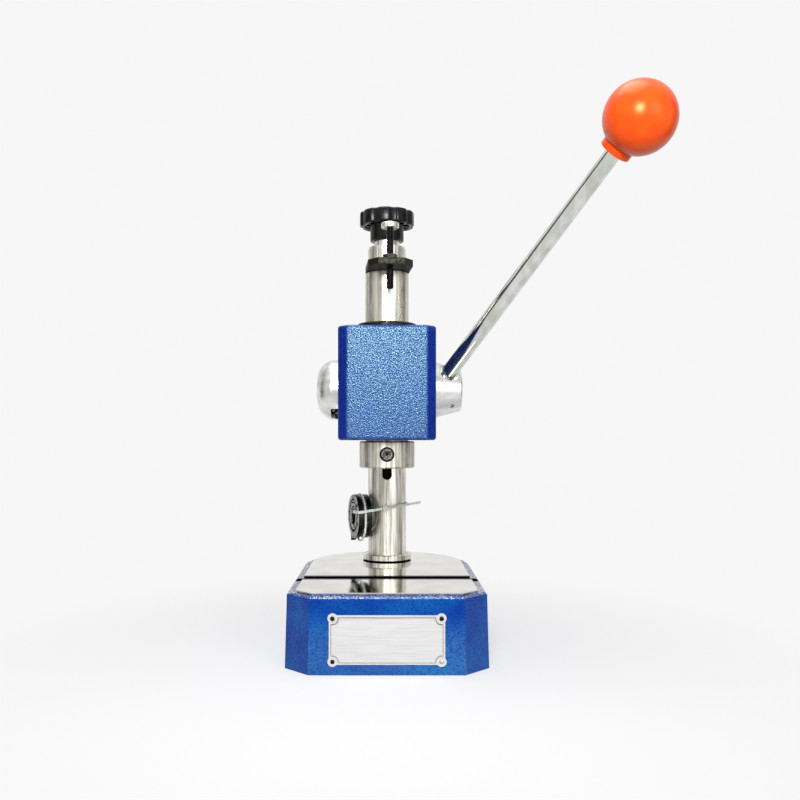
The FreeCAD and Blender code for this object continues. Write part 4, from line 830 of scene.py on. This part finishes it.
# %% [markdown]
# **The cable tie** is white nylon. One strap runs through the springs, round their front and round
# the column, and ends in a locking head with a long tail. A second, thinner loop keeps the springs
# together. One tree draws every strap: it sweeps a soft-edged section along a path with rounded
# corners, and sets small teeth across it, as the pawl in the head needs them.

# %% Strap tree
tree, size = new_tree("toothed_strap", Thickness=0.0011, Width=0.0025, Rounding=0.0025,
                      Tooth=0.0011)
section = add(tree, "GeometryNodeCurvePrimitiveQuadrilateral",
              {"Width": size["Thickness"], "Height": size["Width"]})
section = add(tree, "GeometryNodeFilletCurve", {"Curve": section, "Count": 2, "Radius": 0.0002},
              mode="POLY")
level, strap = sweep(tree, rounded_path(tree, size), section)
spots = add(tree, "GeometryNodeCurveToPoints", {"Curve": level, "Length": size["Tooth"]},
            mode="LENGTH").outputs
bar = [add(tree, "Math", (size[label], share), operation="MULTIPLY")
       for label, share in (("Thickness", 1.15), ("Width", 0.62), ("Tooth", 0.45))]
tooth = add(tree, "GeometryNodeMeshCube", {"Size": add(tree, "CombineXYZ", tuple(bar))})
teeth = add(tree, "GeometryNodeInstanceOnPoints",
            {"Points": spots["Points"], "Instance": tooth, "Rotation": spots["Rotation"]})
close_tree(tree, add(tree, "GeometryNodeJoinGeometry", ([strap, teeth],)), nylon)
strap_tree = tree
print("strap tree", len(strap_tree.nodes), "nodes")

# %% [markdown]
# **Its path** is drawn from above, round the column's axis. It leaves the springs at the left,
# passes in front of them, touches the column where a straight line just grazes it, and follows it
# round the back. The whole strap is then lifted and tilted a little, as a real one settles.

# %% Strap round the column
BEND, OUT, FRONT = 0.0192, 0.0344, 0.0221     # round the column, out to the left, to the front
inner, outer = OUTWARD * BEND + FORWARD * FRONT, OUTWARD * OUT + FORWARD * FRONT
touch = math.atan2(inner.y, inner.x) + math.acos(BEND / inner.length)
loop = [tuple(v.xy) for v in (OUTWARD * OUT, outer, inner)]
loop += arc((0, 0), BEND, math.degrees(touch), 180 + math.degrees(HANG_TURN), 40)
tilt = Matrix.Translation((0, COLUMN_Y, 0.112)) @ Matrix.Rotation(math.radians(-8), 4, "Y")
band = grow("cable_tie_strap", strap_tree, "stand", tilt, wire_mesh("strap_path", loop))
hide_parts("cable_tie_band")

run = (Vector((BEND * math.cos(touch), BEND * math.sin(touch), 0)) - inner).normalized()
aside = Vector((run.y, -run.x, 0))
start = inner + run * 0.0128 + aside * 0.0028      # where the tail leaves the locking head
tail_path = [tuple((start + run * along + aside * bow).xy) for along, bow in
             ((0, 0), (0.012, 0.0001), (0.024, 0.0006), (0.0335, 0.0014))]
tail = grow("cable_tie_tail", strap_tree, "stand", tilt,
            wire_mesh("tail_path", tail_path, closed=False), Thickness=0.0009, Width=0.0022)

# %% [markdown]
# **The locking head** is a small moulded block, so a box with bevelled edges is enough. **The
# thinner loop** is the strap tree again, along two half circles that stand beside the column.

# %% Locking head and loop
def soft_box(name, body, size, place, finish, rounding):
    """A small moulded block: a box with its edges rounded off."""
    mesh = bpy.data.meshes.new(name)
    form = bmesh.new()
    bmesh.ops.create_cube(form, size=1, matrix=Matrix.Diagonal((*size, 1)))
    bmesh.ops.bevel(form, geom=form.edges[:], offset=rounding, segments=3, affect="EDGES",
                    profile=0.5)
    form.to_mesh(mesh)
    form.free()
    mesh.transform(place)
    made = link_mesh(name, mesh, finish)
    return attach(made, body)


lock = tilt @ frame_at(inner + run * 0.0105 + aside * 0.0014, run, (-run.y, run.x, 0))
head = soft_box("cable_tie_head", "stand", (0.005, 0.0036, 0.005), lock, nylon, 0.0006)

LOOP, APART = 0.0206, 0.003     # the half circles' radius, and how far apart they stand
circles = arc((0, 0), LOOP, 0, 180, 24) + arc((0, -APART), LOOP, 180, 360, 24)
ring = grow("cable_tie_ring", strap_tree, "stand",
            frame_at(SPRING_LEVEL + OUTWARD * 0.0269, FORWARD, UP),
            wire_mesh("ring_path", circles), Thickness=0.0011, Width=0.0016)
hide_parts("cable_tie_loop")

# %% [markdown]
# **The star knob** is moulded in black phenolic resin, with nine scallops round its rim for the
# fingers. Nine cutters could take them out of a disc, but they would leave sharp edges. Here a
# function says how deep a scallop is at each angle, and its edges fade in softly.

# %% Scallops
SCALLOPS, SCALLOP, DIP = 9, 0.006, 0.0019    # how many, their radius and their depth
RIM, EASE = 0.026, 0.0003


def rim_dip(angle, radius):
    """How far a scallop reaches into the rim at that angle, with its edges eased."""
    step = math.tau / SCALLOPS
    off = (angle + step / 2) % step - step / 2
    centre = radius + SCALLOP - DIP
    reach = centre * math.cos(off) - math.sqrt(max(SCALLOP ** 2 - (centre * math.sin(off)) ** 2, 0))
    under = abs(centre * math.sin(off)) < SCALLOP
    gap = radius - reach if under else -abs(off) * radius
    return (gap + math.sqrt(gap * gap + EASE * EASE)) / 2


print("scallop", round(1000 * rim_dip(0, RIM), 2), "mm deep")

# %% [markdown]
# The knob itself is a lathe whose radius dips at each scallop. Each row of its profile is a radius,
# a height and a share: how much of the dip that row takes.

# %% Star knob
SIDES = 240
low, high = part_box("star_knob")
top = high.z - low.z
knob_profile = [(0.0, 0.0, 0), (0.0155, 0.0, 0), (0.016, 0.0005, 0), (0.016, 0.0195, 0),
                (0.0165, 0.0205, 0), (0.0198, 0.0205, 0.0), (0.0205, 0.0195, 0.1),
                (0.0212, 0.0148, 0.2), (0.0222, 0.0141, 0.7), (0.0245, 0.014, 1),
                (0.0257, 0.0146, 1), (RIM, 0.0158, 1), (RIM, top - 0.0026, 1),
                (0.0256, top - 0.001, 1), (0.0245, top - 0.0003, 1), (0.022, top, 0.9),
                (0.0165, top, 0.1), (0.0155, top - 0.0006, 0), (0.0125, top - 0.0008, 0),
                (0.0, top - 0.0002, 0)]
points, faces = [], []
for radius, height, share in knob_profile:
    for turn in (math.tau * i / SIDES for i in range(SIDES)):
        r = radius - rim_dip(turn, RIM) * share
        points.append((r * math.cos(turn), r * math.sin(turn), height))
for row in range(0, len(points) - SIDES, SIDES):
    for i in range(SIDES):
        j = (i + 1) % SIDES
        faces.append((row + i, row + j, row + SIDES + j, row + SIDES + i))
mesh = bpy.data.meshes.new("star_knob_body")
mesh.from_pydata(points, [], faces)
form = bmesh.new()
form.from_mesh(mesh)
seal(form, mesh)
for face in mesh.polygons:
    face.use_smooth = True
KNOB_TURN = math.radians(-76)
upright = Matrix.Translation((0, COLUMN_Y, low.z))
mesh.transform(upright @ Matrix.Rotation(KNOB_TURN, 4, "Z"))
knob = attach(link_mesh("star_knob_body", mesh, black_resin), "adjuster")
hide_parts("star_knob")
print("star knob", round(top, 4), "m high,", len(mesh.polygons), "faces")

# %% [markdown]
# **Its ribs.** The knob's underside is hollow between the hub and the rim, to save resin, and ribs
# cross that hollow. The tree sets a bar on each point of a circle and turns it to point outwards.

# %% Ribs of the knob
tree, size = new_tree("knob_ribs", Count=12, Ring=0.0182, Long=0.0042, Thick=0.0014, Deep=0.006)
circle = add(tree, "GeometryNodeMeshCircle", {"Vertices": size["Count"], "Radius": size["Ring"]})
spoke = add(tree, "CombineXYZ", (size["Long"], size["Thick"], size["Deep"]))
rib = add(tree, "GeometryNodeMeshCube", {"Size": spoke})
outwards = add(tree, "FunctionNodeAlignRotationToVector",
               {"Vector": add(tree, "GeometryNodeInputPosition")}, axis="X")
ribs = add(tree, "GeometryNodeInstanceOnPoints",
           {"Points": circle, "Instance": rib, "Rotation": outwards})
close_tree(tree, ribs, black_resin)
ribs = grow("star_knob_ribs", tree, "adjuster", Matrix.Translation((0, COLUMN_Y, low.z + 0.0175)))
